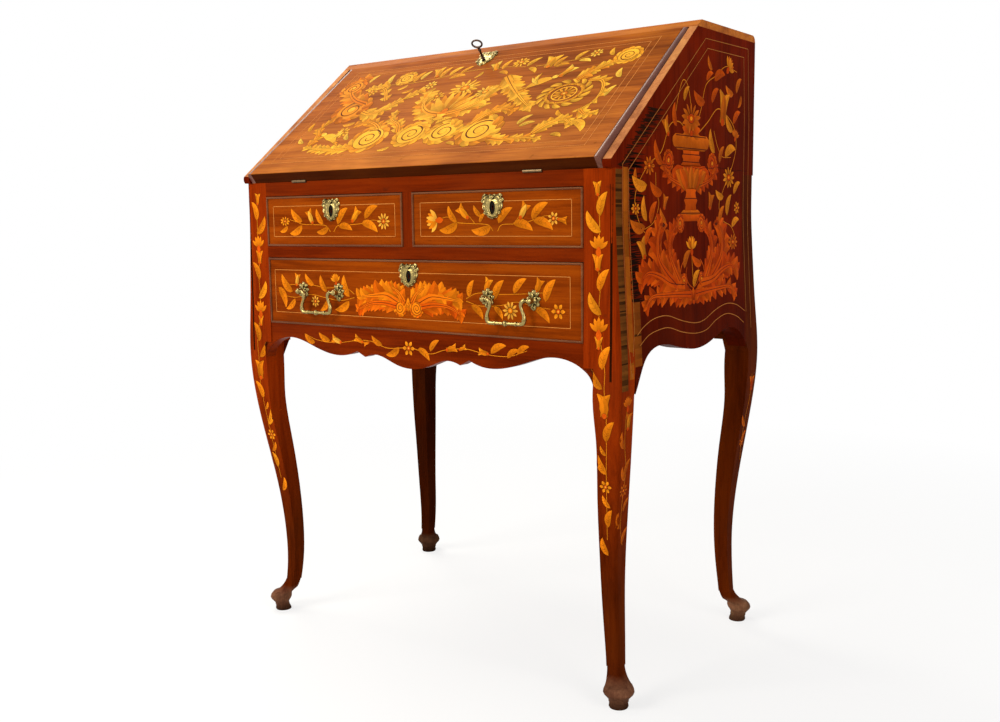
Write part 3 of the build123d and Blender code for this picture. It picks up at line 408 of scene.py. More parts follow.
def leg_ground(knee, shin, foot):
    """Ground of a leg: warm at the knee, dark down the shin, worn at the foot."""

    def ground(make):
        height = make.height()
        worn = make.noise(make.place(), 55, 3, 0.6)
        upper = make.blend(make.span(height, *LEG_LIGHTENS), shin, knee)
        pad = make.blend(make.span(worn, 0.3, 0.7), shade(foot, 0.7), shade(foot, 1.3))
        under = make.blend(make.span(height, *SOLE_ENDS), shade(foot, 0.3), shade(foot, 0.75))
        pad = make.blend(make.span(height, *BASE_ENDS), under, pad)
        return make.blend(make.span(height, *PAD_ENDS), pad, upper)

    return ground


def make_metal(name, bright, dull, roughness, scale=260.0):
    """Old metal, bright where it is handled and dull in the hollows."""
    made, make, shader = start_material(name, Metallic=1.0)
    worn = make.noise(make.place(), scale, 3, 0.6)
    spots = make.noise(make.place(), scale * 3, 2, 0.7)
    near = make.add("ShaderNodeAmbientOcclusion", {"Distance": 0.004}, samples=6).outputs["AO"]
    hollow, rubbed = make.span(near, 0.45, 0.95, 1.0, 0.0), make.span(worn, 0.5, 0.75, 0, 0.45)
    dirt = make.math("ADD", hollow, rubbed)
    make.feed(shader.inputs["Base Color"], make.blend(make.math("MINIMUM", dirt, 1.0), bright, dull))
    rough = make.math("ADD", make.math("MULTIPLY", dirt, 0.3), roughness)
    make.feed(shader.inputs["Roughness"], rough)
    make.feed(shader.inputs["Normal"], make.bump(0.3, WEAR_DEPTH, make.math("ADD", worn, spots)))
    return made


def dress(nodes, material):
    """Gives CAD nodes a material."""
    for name in nodes:
        mesh = NODES[name].data
        mesh.materials.clear()
        mesh.materials.append(material)


def add_piece(name, mesh, body, node=None):
    """Adds a piece that rides on a body, in place of the frame's node if one is given."""
    piece = bpy.data.objects.new(name, mesh)
    bpy.context.scene.collection.objects.link(piece)
    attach(piece, body)
    if node:
        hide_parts(node)


# ---------------------------------------------------------------- stage
LAMPS = {
    "key": ((-1.3, -2.8, 2.0), (0, -0.2, 0.6), 1.5, (1.0, 0.96, 0.90)),
    "fall_glow": ((-1.6, 0.2, 3.0), (0, 0, 0.85), 1.6, (1.0, 0.97, 0.90)),
    "fill": ((2.8, -0.9, 1.7), (0.2, 0, 0.6), 1.4, (1.0, 0.95, 0.90)),
}  # place, target, side and tint of each square lamp
FLOOR_FADE, FLOOR_GLOW = (0.4, 2.0), (0.74, 1.0)  # distances, and shares of white at them
CAMERA_PLACE = (1.0971, FRONT - 1.2562, 0.7089)
CAMERA_YAW, CAMERA_PITCH, CAMERA_ROLL = 0.63406, 0.13309, -0.013742  # to the left, down, level
CAMERA_LENS, CAMERA_SENSOR = 38.484, 36.0  # millimetres


class ESCRITOIRE_OT_stage(bpy.types.Operator):
    """Lays the floor, hangs the lamps and sets the camera"""

    bl_idname = "escritoire.stage"
    bl_label = "Stage"

    def execute(self, context):
        self.scene, self.values = context.scene, context.scene.escritoire_stage
        self.scene.view_settings.view_transform = "Standard"
        self.light_world()
        self.lay_floor()
        for name, (place, target, side, tint) in LAMPS.items():
            lamp = bpy.data.lights.new(name, "AREA")
            lamp.size, lamp.color, lamp.energy = side, tint, getattr(self.values, name)
            way = Vector(target) - Vector(place)
            turn = way.to_track_quat("-Z", "Y").to_matrix().to_4x4()
            self.set_up(name, lamp, Matrix.Translation(place) @ turn)
        lens = bpy.data.cameras.new("camera")
        lens.sensor_width, lens.lens = CAMERA_SENSOR, CAMERA_LENS
        turn = Matrix.Rotation(CAMERA_YAW, 4, "Z") @ Matrix.Rotation(math.pi / 2 - CAMERA_PITCH, 4, "X")
        turn = turn @ Matrix.Rotation(CAMERA_ROLL, 4, "Z")
        self.scene.camera = self.set_up("camera", lens, Matrix.Translation(CAMERA_PLACE) @ turn)
        return {"FINISHED"}

    def set_up(self, name, data, matrix):
        """Places a lamp, the camera or the floor."""
        made = bpy.data.objects.new(name, data)
        made.matrix_world = matrix
        self.scene.collection.objects.link(made)
        return made

    def light_world(self):
        """A white world, dimmer on the desk than where it is seen."""
        world = bpy.data.worlds.new("studio")
        self.scene.world = world
        world.use_nodes = True
        make = Nodes(world.node_tree)
        ground = world.node_tree.nodes["Background"].inputs
        make.feed(ground["Color"], (1, 1, 1))
        make.feed(ground["Strength"], make.span(self.seen(make), 0, 1, self.values.ambient, 1.0))

    def lay_floor(self):
        """A pale floor that fades to white away from the desk."""
        reach = self.values.reach
        mesh = bpy.data.meshes.new("floor")
        corners = [(-reach, -reach, 0), (reach, -reach, 0), (reach, reach, 0), (-reach, reach, 0)]
        mesh.from_pydata(corners, [], [(0, 1, 2, 3)])
        made, make, shader = start_material(
            "pale_floor", Base_Color=self.values.floor, Roughness=0.9
        )
        glow = make.add("ShaderNodeEmission", {"Color": (1, 1, 1), "Strength": 1.0})
        away = make.span(make.vector("LENGTH", make.place()), *FLOOR_FADE, *FLOOR_GLOW)
        share = make.math("MULTIPLY", self.seen(make), away)
        mixed = {0: share, 1: shader.outputs[0], 2: glow.outputs[0]}
        surface = made.node_tree.nodes["Material Output"].inputs["Surface"]
        make.feed(surface, make.add("ShaderNodeMixShader", mixed).outputs[0])
        mesh.materials.append(made)
        self.set_up("floor", mesh, Matrix())

    @staticmethod
    def seen(make):
        """1 for rays from the camera, from gloss and through glass."""
        path = make.add("ShaderNodeLightPath").outputs
        direct = make.math("MAXIMUM", path["Is Camera Ray"], path["Is Glossy Ray"])
        return make.math("MAXIMUM", direct, path["Is Transmission Ray"])


# ---------------------------------------------------------------- woods and metals
class ESCRITOIRE_OT_woods(bpy.types.Operator):
    """Gives every board of the frame its veneer or plain wood"""

    bl_idname = "escritoire.woods"
    bl_label = "Woods"

    def execute(self, context):
        wood = context.scene.escritoire_veneer
        side, fall = side_ground(wood.side, wood.cheek), fall_ground(wood.fall, wood.edge)
        inner = [n for n in NODES if n.startswith("inner_drawer") and n.endswith("front")]
        plain = [n for n in NODES if n.endswith("_box")] + inner
        plain += ["back_panel", "desk_floor", "dust_board", "drawer_runners", "drawer_guides"]
        plain += ["gallery_frame", "gallery_partitions", "rear_apron"]
        rails = ["top_rail", "middle_rail", "front_apron", "knee_brackets"]
        for name, nodes, ground, finish in (
            ("front_veneer", [f"{n}_front" for n in OUTER_DRAWERS], wood.front, {}),
            ("rail_veneer", rails, wood.rail, {}),
            ("muntin_veneer", ["muntin"], wood.rail, {"turn": ALONG_Z}),
            ("side_veneer", ["side_left", "side_right"], side,
             {"turn": ALONG_Z, "contrast": 0.55, "sheen": 0.002}),
            ("fall_veneer", ["fall_panel"], fall,
             {"contrast": 0.7, "gloss": 0.30, "age": 0.7, "sheen": 0.004}),
            ("top_veneer", ["top_board", "lock_rail"], wood.fall, {"contrast": 0.7, "gloss": 0.3}),
            ("bead_wood", [f"{n}_bead" for n in OUTER_DRAWERS], wood.bead,
             {"gloss": 0.2, "age": 0.6, "sheen": 0.2}),
            ("fall_bead_wood", ["fall_edge_beads"], wood.strip,
             {"turn": ALONG_Y, "contrast": 0.5, "gloss": 0.2, "sheen": 0.3}),
            ("plain_oak", plain, wood.oak, {"contrast": 0.7, "gloss": 0.45, "sheen": 0.2}),
        ):
            dress(nodes, make_wood(name, ground, **finish))
        for place, knee, depth in (
            ("front_left", shade(wood.rail, 1.5), 1.0),
            ("front_right", shade(wood.rail, 1.5), 1.0),
            # Painted shade: the rear left leg's knee, shin and foot are darkened to 0.4 for the shadow it
            # stands in.
            ("rear_left", shade(wood.leg, 0.4), 0.4),
            ("rear_right", wood.leg, 1.0),
        ):
            ground = leg_ground(knee, shade(wood.leg, depth), shade(wood.foot, depth))
            finish = {"turn": ALONG_Z, "gloss": 0.22, "age": 0.6, "sheen": 0.002}
            dress([f"leg_{place}"], make_wood(f"{place}_leg_wood", ground, **finish))
            self.shape_foot(f"leg_{place}")
        return {"FINISHED"}

    @staticmethod
    def shape_foot(node):
        """Draws in the heel of a leg's pad, so that the ankle runs down into its base."""
        sole, waist, toe, heel_top, pad_top = 0.0005, 0.013, 0.037, 0.040, 0.046
        ankle_low, ankle_high = 0.05, 0.07
        mesh = NODES[node].data.copy()
        mesh.name = f"{node}_carved"
        base = [v.co for v in mesh.vertices if v.co.z < sole]
        ankle = [v.co for v in mesh.vertices if ankle_low < v.co.z < ankle_high]
        pad = sum(base, Vector()) / len(base)
        outward = pad - sum(ankle, Vector()) / len(ankle)
        outward.z = 0
        outward.normalize()
        for vertex in mesh.vertices:
            height = vertex.co.z
            away = vertex.co - pad
            away.z = 0
            reach = away.dot(outward)
            if height > pad_top:
                continue
            vertex.co -= away * 0.16 * math.exp(-(((height - waist) / 0.005) ** 2))
            if reach > 0:
                vertex.co -= outward * reach * 0.20 * math.exp(-(((height - toe) / 0.006) ** 2))
            elif height < heel_top:
                share = math.sin(math.pi * height / heel_top) ** 0.8
                vertex.co -= outward * reach * 0.36 * share
        add_piece(f"{node}_carved", mesh, "case", node)


class ESCRITOIRE_OT_metals(bpy.types.Operator):
    """Gives the hardware of the frame its brass or iron"""

    bl_idname = "escritoire.metals"
    bl_label = "Metals"

    def execute(self, context):
        metal = context.scene.escritoire_metal
        for name, bright, dull, roughness in (
            ("old_brass", metal.brass, metal.tarnish, 0.26),
            ("dull_brass", metal.hinge, metal.tarnish, 0.42),
            ("dark_iron", metal.iron, (0.015, 0.008, 0.006), 0.38),
            # Near-black iron: painted shade for the hollow behind a keyhole, on a lining that a real lock
            # has.
            ("keyhole_iron", (0.012, 0.009, 0.007), (0.004, 0.003, 0.002), 0.6),
        ):
            MADE[name] = make_metal(name, bright, dull, roughness)
        shiny = [n for n in NODES if n.endswith("knob")] + ["strike_plate", "handle_nuts"]
        dress(shiny, MADE["old_brass"])
        dress([n for n in NODES if n.startswith("hinge")], MADE["dull_brass"])
        dress([n for n in NODES if n.endswith(("_lock", "bolt"))], MADE["dark_iron"])
        return {"FINISHED"}


# ---------------------------------------------------------------- surfaces
def flat_place(origin, across, along):
    """Turns a panel's millimetres into a point and the normal on a flat surface."""
    origin, across, along = Vector(origin), Vector(across), Vector(along)
    normal = across.cross(along)

    def place(point):
        return origin + (across * point[0] + along * point[1]) * MM, normal

    return place


def cast_place(nodes, start, axis, across, along):
    """Turns a panel's millimetres into a point and the normal on shaped surfaces.

    A ray runs along the axis from far outside and stops on the first surface. One that
    misses takes the point nearest to the depth of the last hit.
    """
    trees = []
    for name in nodes:
        mesh = NODES[name].data
        corners = [v.co.copy() for v in mesh.vertices]
        trees.append(BVHTree.FromPolygons(corners, [list(p.vertices) for p in mesh.polygons]))
    start, axis, across, along = (Vector(v) for v in (start, axis, across, along))
    depth = 0.7

    def place(point):
        nonlocal depth
        origin = start + (across * point[0] + along * point[1]) * MM
        hits = [tree.ray_cast(origin, axis) for tree in trees]
        hits = [hit for hit in hits if hit[0] is not None]
        if not hits:
            hits = [tree.find_nearest(origin + axis * depth) for tree in trees]
        spot, normal, _, _ = min(hits, key=lambda hit: hit[3])
        depth = (spot - origin).dot(axis)
        return spot, normal if normal.dot(axis) < 0 else -normal

    return place


# ---------------------------------------------------------------- lines in a panel
def heading(angle, squash=1.0):
    """The way that an angle in radians points, squashed in height if asked."""
    return Vector((math.cos(angle), math.sin(angle) * squash))


def flowing(points, count=10):
    """A smooth line through points."""
    points = [Vector(p) for p in points]
    ends = [2 * points[0] - points[1], *points, 2 * points[-1] - points[-2]]
    line = []
    for a, b, c, d in zip(ends, ends[1:], ends[2:], ends[3:]):
        for step in range(count):
            t = step / count
            bend, twist = 2 * a - 5 * b + 4 * c - d, 3 * b - a - 3 * c + d
            line.append(0.5 * (2 * b + (c - a) * t + bend * t * t + twist * t**3))
    return line + [points[-1]]


def bowed(base, tip, bend, count=9):
    """A line from base to tip that bows to its left by a share of its length."""
    base, tip = Vector(base), Vector(tip)
    along = tip - base
    control = (base + tip) / 2 + Vector((-along.y, along.x)) * bend * 2
    steps = [i / count for i in range(count + 1)]
    return [(1 - t) ** 2 * base + 2 * t * (1 - t) * control + t * t * tip for t in steps]


def sideways(line):
    """Unit vectors to the left of a line, at each of its points."""
    found = []
    for index in range(len(line)):
        along = line[min(index + 1, len(line) - 1)] - line[max(index - 1, 0)]
        found.append(Vector((-along.y, along.x)).normalized())
    return found


def leaf_share(t):
    """Width of a leaf along its length, 1 at its widest."""
    return 1.93 * t**0.62 * (1 - t) ** 0.85 + 0.02


def petal_share(t):
    """Width of a petal along its length, broad near its tip."""
    return max(0.12, math.sin(math.pi * (0.1 + 0.84 * t**1.25)))


def spiral(centre, radius, start, turns, hand=1, end=0.12, count=36):
    """A volute's line, winding inward from an angle in degrees."""
    centre, line = Vector(centre), []
    for step in range(count + 1):
        t = step / count
        angle = math.radians(start) + hand * turns * 2 * math.pi * t
        line.append(centre + heading(angle) * (radius * (1 - (1 - end) * t)))
    return line


class Inlay:
    """Cut pieces of veneer for one surface, gathered as thin closed prisms.

    Points are in the surface's millimetres. A lift is a share of the inlay's stand.
    """

    SUNK = 0.0003  # how deep a piece goes into its ground, in metres
    SPREAD = 0.45  # lift between the lowest and the highest layer
    STRING_STEP = 25  # between the points of a straight string

    def __init__(self, name, body, slot, place, flip=1):
        self.name, self.body, self.slot, self.place, self.flip = name, body, slot, place, flip
        self.verts, self.faces, self.tints = [], [], []
        self.layer = 0.0
        woods = bpy.context.scene.escritoire_inlay
        self.stand, self.string_width = woods.stand, woods.string / MM
        tones = ("box", "satin", "pear", "plum", "ink", "line")
        self.tone = {n: tuple(getattr(woods, n)) for n in tones}
        self.chance = random.Random(name)

    def next_layer(self):
        """Sets the next piece a little higher or lower, so that no two share a plane."""
        golden = 0.618034
        self.layer = (self.layer + golden) % 1.0

    def strip(self, left, right, start, end, lift=1.0):
        """One closed prism between two lines, shaded from start to end."""
        count, first = len(left), len(self.verts)
        lift += self.SPREAD * self.layer
        for index, (a, b) in enumerate(zip(left, right)):
            t = index / max(count - 1, 1)
            tint = tuple(s + (e - s) * t for s, e in zip(start, end))
            for point in (a, b):
                spot, normal = self.place((point[0] * self.flip, point[1]))
                self.verts += [spot + normal * self.stand * lift, spot - normal * self.SUNK]
                self.tints += [tint, tint]
        turn = 1 if self.flip > 0 else -1
        last = 4 * (count - 1)
        faces = []
        for a in range(0, last, 4):
            b = a + 4
            faces += [(a, a + 2, b + 2, b), (a + 1, b + 1, b + 3, a + 3)]
            faces += [(a, b, b + 1, a + 1), (a + 2, a + 3, b + 3, b + 2)]
        faces += [(0, 1, 3, 2), (last, last + 2, last + 3, last + 1)]
        self.faces += [[first + corner for corner in face][::turn] for face in faces]

    def ribbon(self, line, widths, start, end=None, lift=1.0):
        """A strip of given widths along a line."""
        if not isinstance(widths, (list, tuple)):
            widths = [widths] * len(line)
        sides = sideways(line)
        left = [p + s * w / 2 for p, s, w in zip(line, sides, widths)]
        right = [p - s * w / 2 for p, s, w in zip(line, sides, widths)]
        self.strip(left, right, start, end or start, lift)

    def rim(self, line, widths, more, lift):
        """The dark glue line that shows round a piece."""
        self.ribbon(line, [w + more for w in widths], self.tone["ink"], lift=lift)

    def halves(self, line, widths, tint, dark, shaded, lift):
        """A piece in two halves on its rib, scorched at the base and shaded on its right."""
        for side, dim in ((1, 1.0), (-1, shaded)):
            edge = [p + s * w / 2 * side for p, s, w in zip(line, sideways(line), widths)]
            pair = (edge, line) if side > 0 else (line, edge)
            self.strip(*pair, shade(tint, dark * dim), shade(tint, dim), lift)

    def string(self, *points, loop=False):
        """Stringing: a thin pale line with dark glue lines beside it."""
        points = [Vector(p) for p in points]
        if loop:
            points.append(points[0])
        for a, b in zip(points, points[1:]):
            count = max(1, int((b - a).length / self.STRING_STEP))
            line = [a.lerp(b, i / count) for i in range(count + 1)]
            self.ribbon(line, self.string_width + 0.5, self.tone["ink"], lift=0.8)
            self.ribbon(line, self.string_width, self.tone["line"], lift=1.0)

    def stem(self, *points, width=1.0, tone="satin"):
        """A thin curved stem, tapering to its end."""
        line = flowing(points, 7)
        widths = [width * (1.2 - 0.6 * i / len(line)) for i in range(len(line))]
        self.rim(line, widths, 0.6, 0.7)
        self.ribbon(line, widths, shade(self.tone[tone], 0.7), self.tone[tone], 0.9)

    def leaf(self, base, tip, width=0.50, bend=0.14, tone="pear", veins=3, lift=1.2):
        """A leaf in two halves on a curved rib, with engraved veins."""
        self.next_layer()
        line = bowed(base, tip, bend)
        size = (line[-1] - line[0]).length
        count = len(line) - 1
        widths = [size * width * leaf_share(i / count) for i in range(count + 1)]
        self.rim(line, widths, 0.8, lift - 0.3)
        tint = shade(self.tone[tone], self.chance.uniform(0.85, 1.15))
        self.halves(line, widths, tint, 0.62, 0.8, lift)
        sides = sideways(line)
        for k in range(veins):
            at = int((k + 1.2) / (veins + 2) * count)
            along = (line[at + 1] - line[at]).normalized()
            for hand in (1, -1):
                reach = widths[at] * 0.40
                end = line[at] + sides[at] * hand * reach + along * reach * 0.9
                self.ribbon([line[at], end], [0.35, 0.15], self.tone["ink"], lift=lift + 0.3)

    def leaves(self, *spots, width=0.50, bend=0.14, tones=("pear",)):
        """Leaves, each from its base's x and z to its tip's, of one tone or of several."""
        for x, z, tip_x, tip_z in spots:
            tone = tones[0] if len(tones) == 1 else self.chance.choice(tones)
            self.leaf((x, z), (tip_x, tip_z), width, bend, tone)

    def petal(self, base, tip, width, tone, bend=0.0, dark=0.45, lift=1.4):
        """A petal, broad near its tip."""
        self.next_layer()
        line = bowed(base, tip, bend, 7)
        size = (line[-1] - line[0]).length
        widths = [size * width * petal_share(i / 7) for i in range(8)]
        tint = shade(self.tone[tone], self.chance.uniform(0.9, 1.1))
        self.rim(line, widths, 0.7, lift - 0.3)
        self.ribbon(line, widths, shade(tint, dark), tint, lift)

    def lobe(self, base, tip, width, tone, bend, lift):
        """A pointed acanthus lobe, scorched on its shaded side."""
        self.next_layer()
        line = bowed(base, tip, bend, 6)
        size = (line[-1] - line[0]).length
        widths = [size * width * share for share in (0.55, 0.82, 0.98, 1.0, 0.88, 0.6, 0.12)]
        tint = shade(self.tone[tone], self.chance.uniform(0.85, 1.15))
        self.rim(line, widths, 0.9, lift - 0.25)
        self.halves(line, widths, tint, 0.6, 0.72, lift)

    def disc(self, centre, across, up=None, tone="box", lift=1.5, ring=0.8):
        """An oval piece with a dark edge."""
        self.next_layer()
        centre, up = Vector(centre), up or across
        for grow, tint, height in ((ring, self.tone["ink"], lift - 0.25), (0, self.tone[tone], lift)):
            angles = [math.pi * (step / 10 - 0.5) for step in range(11)]
            line = [centre + Vector((0, math.sin(a) * (up + grow))) for a in angles]
            widths = [2 * (across + grow) * max(0.05, math.cos(a)) for a in angles]
            self.ribbon(line, widths, shade(tint, 0.8), tint, height)

    def daisy(self, centre, radius, petals=8, tone="satin", heart="plum", squash=1.0, turn=0.0):
        """A round flower of petals about its heart."""
        centre = Vector(centre)
        for index in range(petals):
            way = heading(2 * math.pi * (index + turn) / petals, squash)
            self.petal(centre + way * radius * 0.25, centre + way * radius, 3.9 / petals, tone)
        self.disc(centre, radius * 0.30, radius * 0.30 * squash, heart, 1.9)
        self.disc(centre, radius * 0.13, radius * 0.13 * squash, "box", 2.2, 0.3)

    def tulip(self, base, tip, width=0.75, tone="satin", second="pear"):
        """A cup of three pointed petals, opening from base to tip."""
        base, tip = Vector(base), Vector(tip)
        along = tip - base
        side = Vector((-along.y, along.x)) * width
        for hand in (1, -1):
            start = base + side * hand * 0.10
            self.lobe(start, tip + side * 0.42 * hand, 0.40, tone, 0.20 * -hand, 1.4)
        self.lobe(base, base + along * 0.92, 0.42, second, 0.0, 1.7)
        self.disc(base + along * 0.06, along.length * 0.12, None, "plum", 1.9, 0.4)

    def carnation(self, base, tip, width=1.1, tone="satin", petals=7):
        """A fan of notched petals on a calyx."""
        base, tip = Vector(base), Vector(tip)
        along = tip - base
        side = Vector((-along.y, along.x))
        heart = base + along * 0.35
        for index in range(petals):
            t = 2 * index / (petals - 1) - 1
            end = base + along * (1 - 0.28 * t * t) + side * t * width / 2
            kind = tone if index % 2 == 0 else "pear"
            self.petal(heart, end, 0.34, kind, 0.05 * t, 0.5, 1.4 + 0.1 * (index % 2))
        self.petal(heart + along * 0.1, base - along * 0.02, 0.65, "plum", 0, 0.9, 1.8)

    def plume(self, points, width, leaves=7, side=0, tone="plum", tip="pear"):
        """Acanthus: lobes that sweep forward from a rib, overlapping like feathers."""
        line = flowing(points, 6)
        count = len(line) - 1
        sides = sideways(line)
        for index in range(leaves):
            t = (index + 0.2) / leaves
            at = min(count - 1, int(t * count))
            along = (line[at + 1] - line[at]).normalized()
            size = width * (0.92 - 0.35 * t) * self.chance.uniform(0.9, 1.12)
            for hand in (side,) if side else (1, -1):
                way = (sides[at] * hand * 0.72 + along * 0.9).normalized()
                kind = tone if (index + (hand > 0)) % 3 == 0 else tip
                lift = 1.1 + 0.04 * (leaves - index)
                self.lobe(line[at], line[at] + way * size, 0.62, kind, -0.2 * hand, lift)
        end = line[-1] + (line[-1] - line[-2]).normalized() * width * 0.3
        self.lobe(line[-2], end, 0.6, tip, 0, 1.1)
        self.next_layer()
        widths = [width * 0.30 * (1 - 0.8 * i / count) + 0.4 for i in range(count + 1)]
        self.rim(line, widths, 0.9, 1.6)
        self.ribbon(line, widths, shade(self.tone[tone], 0.85), self.tone[tip], 1.8)
        self.ribbon(line, [w * 0.08 + 0.4 for w in widths], self.tone["ink"], lift=2.0)

    def whorl(self, centre, radius, hand=1, start=0, tone="plum", second="pear"):
        """A scroll wound into a round boss of leaves, from an angle in degrees."""
        centre, lobes = Vector(centre), 12
        for index in range(lobes):
            way = heading(math.radians(start) + 2 * math.pi * index / lobes)
            turn = Vector((-way.y, way.x)) * hand
            base = centre + way * radius * 0.62
            tip = base + (way * 0.42 + turn * 0.95) * radius * 0.6
            self.lobe(base, tip, 0.7, tone if index % 3 else second, -0.18 * hand, 1.3 + 0.03 * index)
        self.disc(centre, radius * 0.78, None, second, 1.8)
        line = spiral(centre, radius * 0.70, start, 1.9, hand)
        widths = [radius * (0.07 - 0.04 * i / len(line)) + 0.3 for i in range(len(line))]
        self.ribbon(line, widths, self.tone["ink"], lift=2.1)
        self.disc(centre, radius * 0.2, None, "satin", 2.2, 0.4)

    def shell(self, centre, radius, facing, spread=150, ribs=7, tone="pear", second="satin"):
        """A fan of ribs about a centre, facing an angle in degrees."""
        centre = Vector(centre)
        width = 2.3 * math.radians(spread) / ribs / 2
        for index in range(ribs):
            way = heading(math.radians(facing + spread * (index / (ribs - 1) - 0.5)))
            kind = tone if index % 2 else second
            self.petal(centre + way * radius * 0.15, centre + way * radius, width, kind, 0, 0.4)
        self.disc(centre, radius * 0.16, None, "plum", 1.9)

    def wreath(self, centre, across, up, tone="satin", count=15):
        """An oval of laurel about a double ring."""
        centre = Vector(centre)
        for share, wide, kind in ((0.78, 3.4, "pear"), (0.55, 2.2, tone)):
            angles = [2 * math.pi * i / 48 for i in range(49)]
            ring = [centre + Vector((math.cos(a) * across, math.sin(a) * up)) for a in angles]
            line = [centre + (p - centre) * share for p in ring]
            self.ribbon(line, wide + 1.0, self.tone["ink"], lift=1.0)
            self.ribbon(line, wide, self.tone[kind], lift=1.3)
        size = 1.15 * math.pi * (across + up) / count
        for index in range(count):
            a = 2 * math.pi * index / count
            base = centre + Vector((math.cos(a) * across, math.sin(a) * up)) * 0.9
            way = Vector((-math.sin(a) * across, math.cos(a) * up)).normalized()
            out = (base - centre).normalized()
            self.lobe(base, base + (way + out * 0.45) * size, 0.5, tone, -0.15, 1.5)
            self.lobe(base, base + (way - out * 0.35) * size * 0.7, 0.5, "pear", 0.15, 1.6)

    def crossband(self, inner, outer, low, high, tint, pieces=(1.5, 5.0), dark=0.3):
        """A border of short pieces of veneer with the grain across it."""
        at = low
        steps = [inner + (outer - inner) * k / 5 for k in range(6)]
        while at < high:
            top = min(high, at + self.chance.uniform(*pieces))
            shaded = self.chance.random() < dark
            amount = self.chance.uniform(0.2, 0.5) if shaded else self.chance.uniform(0.75, 1.2)
            lower = [Vector((y, at)) for y in steps]
            upper = [Vector((y, top)) for y in steps]
            first = shade(tint, amount)
            self.strip(upper, lower, first, shade(first, self.chance.uniform(0.6, 1.1)), 0.5)
            at = top

    def streak(self, start, reach, z, wave, wide, tint):
        """A dark streak in the ground, thinning to its end."""
        line = [Vector((start + reach * k / 4, z + 0.6 * math.sin(k + wave))) for k in range(5)]
        self.ribbon(line, [wide * w for w in (0.7, 1, 1, 0.7, 0.1)], tint, lift=0.25)

    def outline(self, stations, x, tone, lift=1.4):
        """A symmetrical body about an upright through x, from (height, half width) pairs."""
        line = [Vector((x, z)) for z, half in stations]
        left = [Vector((x - half, z)) for z, half in stations]
        right = [Vector((x + half, z)) for z, half in stations]
        grown = [Vector((half + 0.8, 0)) for z, half in stations]
        wide = [[p + g * hand for p, g in zip(line, grown)] for hand in (-1, 1)]
        self.strip(*wide, self.tone["ink"], self.tone["ink"], lift - 0.3)
        tint, dark = self.tone[tone], 0.6
        self.strip(left, line, shade(tint, dark), shade(tint, 0.9), lift)
        self.strip(line, right, shade(tint, dark * 0.8), shade(tint, 1.15), lift)

    def finish(self):
        """Makes the mesh, gives it its wood and lets it ride."""
        mesh = bpy.data.meshes.new(self.name)
        mesh.from_pydata(self.verts, [], self.faces)
        layer = mesh.color_attributes.new("inlay", "FLOAT_COLOR", "POINT")
        layer.data.foreach_set("color", [c for tint in self.tints for c in (*tint, 1.0)])
        mesh.validate()
        mesh.materials.append(MADE["inlay"])
        add_piece(self.name, mesh, self.body)


# ---------------------------------------------------------------- front
# Each layout is in millimetres, across and up its own surface.
DRAWER_SETBACK = 0.0004  # the drawer fronts lie this far behind the rails


def lay_short_right(cut):
    """Two sprays of tulips and leaves beside the right keyhole."""
    cut.string((26, 682.5), (299, 682.5), (299, 733), (26, 733), loop=True)
    cut.stem((164, 690), (155, 699), (128, 701), (97, 703), (80, 711), (66, 709))
    cut.stem((172, 690), (180, 699), (204, 700), (226, 703), (250, 710), (263, 711))
    cut.stem((130, 702), (124, 708), (118, 714), width=0.8)
    cut.stem((200, 701), (206, 706), (211, 712), width=0.8)
    cut.leaves(
        (160, 697, 124, 692), (97, 704, 81, 728), (98, 703, 63, 692), (143, 712, 129, 728),
        (174, 701, 199, 723), (200, 700, 234, 690), (233, 706, 260, 729), (235, 704, 268, 691),
        (140, 702, 150, 716),
    )
    cut.tulip((118, 709), (100, 726), tone="pear", second="satin")
    cut.carnation((70, 707), (38, 705), 1.05, "box")
    cut.tulip((212, 708), (224, 729), tone="pear", second="box")
    cut.daisy((269, 707), 9.5, 7, "box")
    cut.tulip((276, 706), (291, 704), 0.9, "pear")


def lay_short_left(cut):
    """Two sprays beside the left keyhole."""
    cut.string((-302, 682.5), (-26, 682.5), (-26, 733), (-302, 733), loop=True)
    cut.stem((-167, 690), (-178, 700), (-205, 702), (-232, 703), (-262, 711))
    cut.stem((-160, 690), (-150, 700), (-126, 701), (-97, 703), (-76, 708), (-60, 707))
    cut.leaves(
        (-183, 703, -198, 728), (-172, 698, -199, 690), (-232, 708, -258, 729), (-233, 701, -263, 688),
        (-150, 702, -127, 728), (-148, 698, -118, 692), (-90, 710, -62, 730), (-97, 703, -63, 689),
        (-268, 700, -287, 691),
    )
    cut.tulip((-208, 704), (-218, 726), tone="pear", second="box")
    cut.daisy((-274, 708), 11, 9, "satin", squash=0.7)
    cut.tulip((-118, 706), (-103, 726), tone="pear", second="satin")
    cut.daisy((-50, 706), 13, 10, "box")


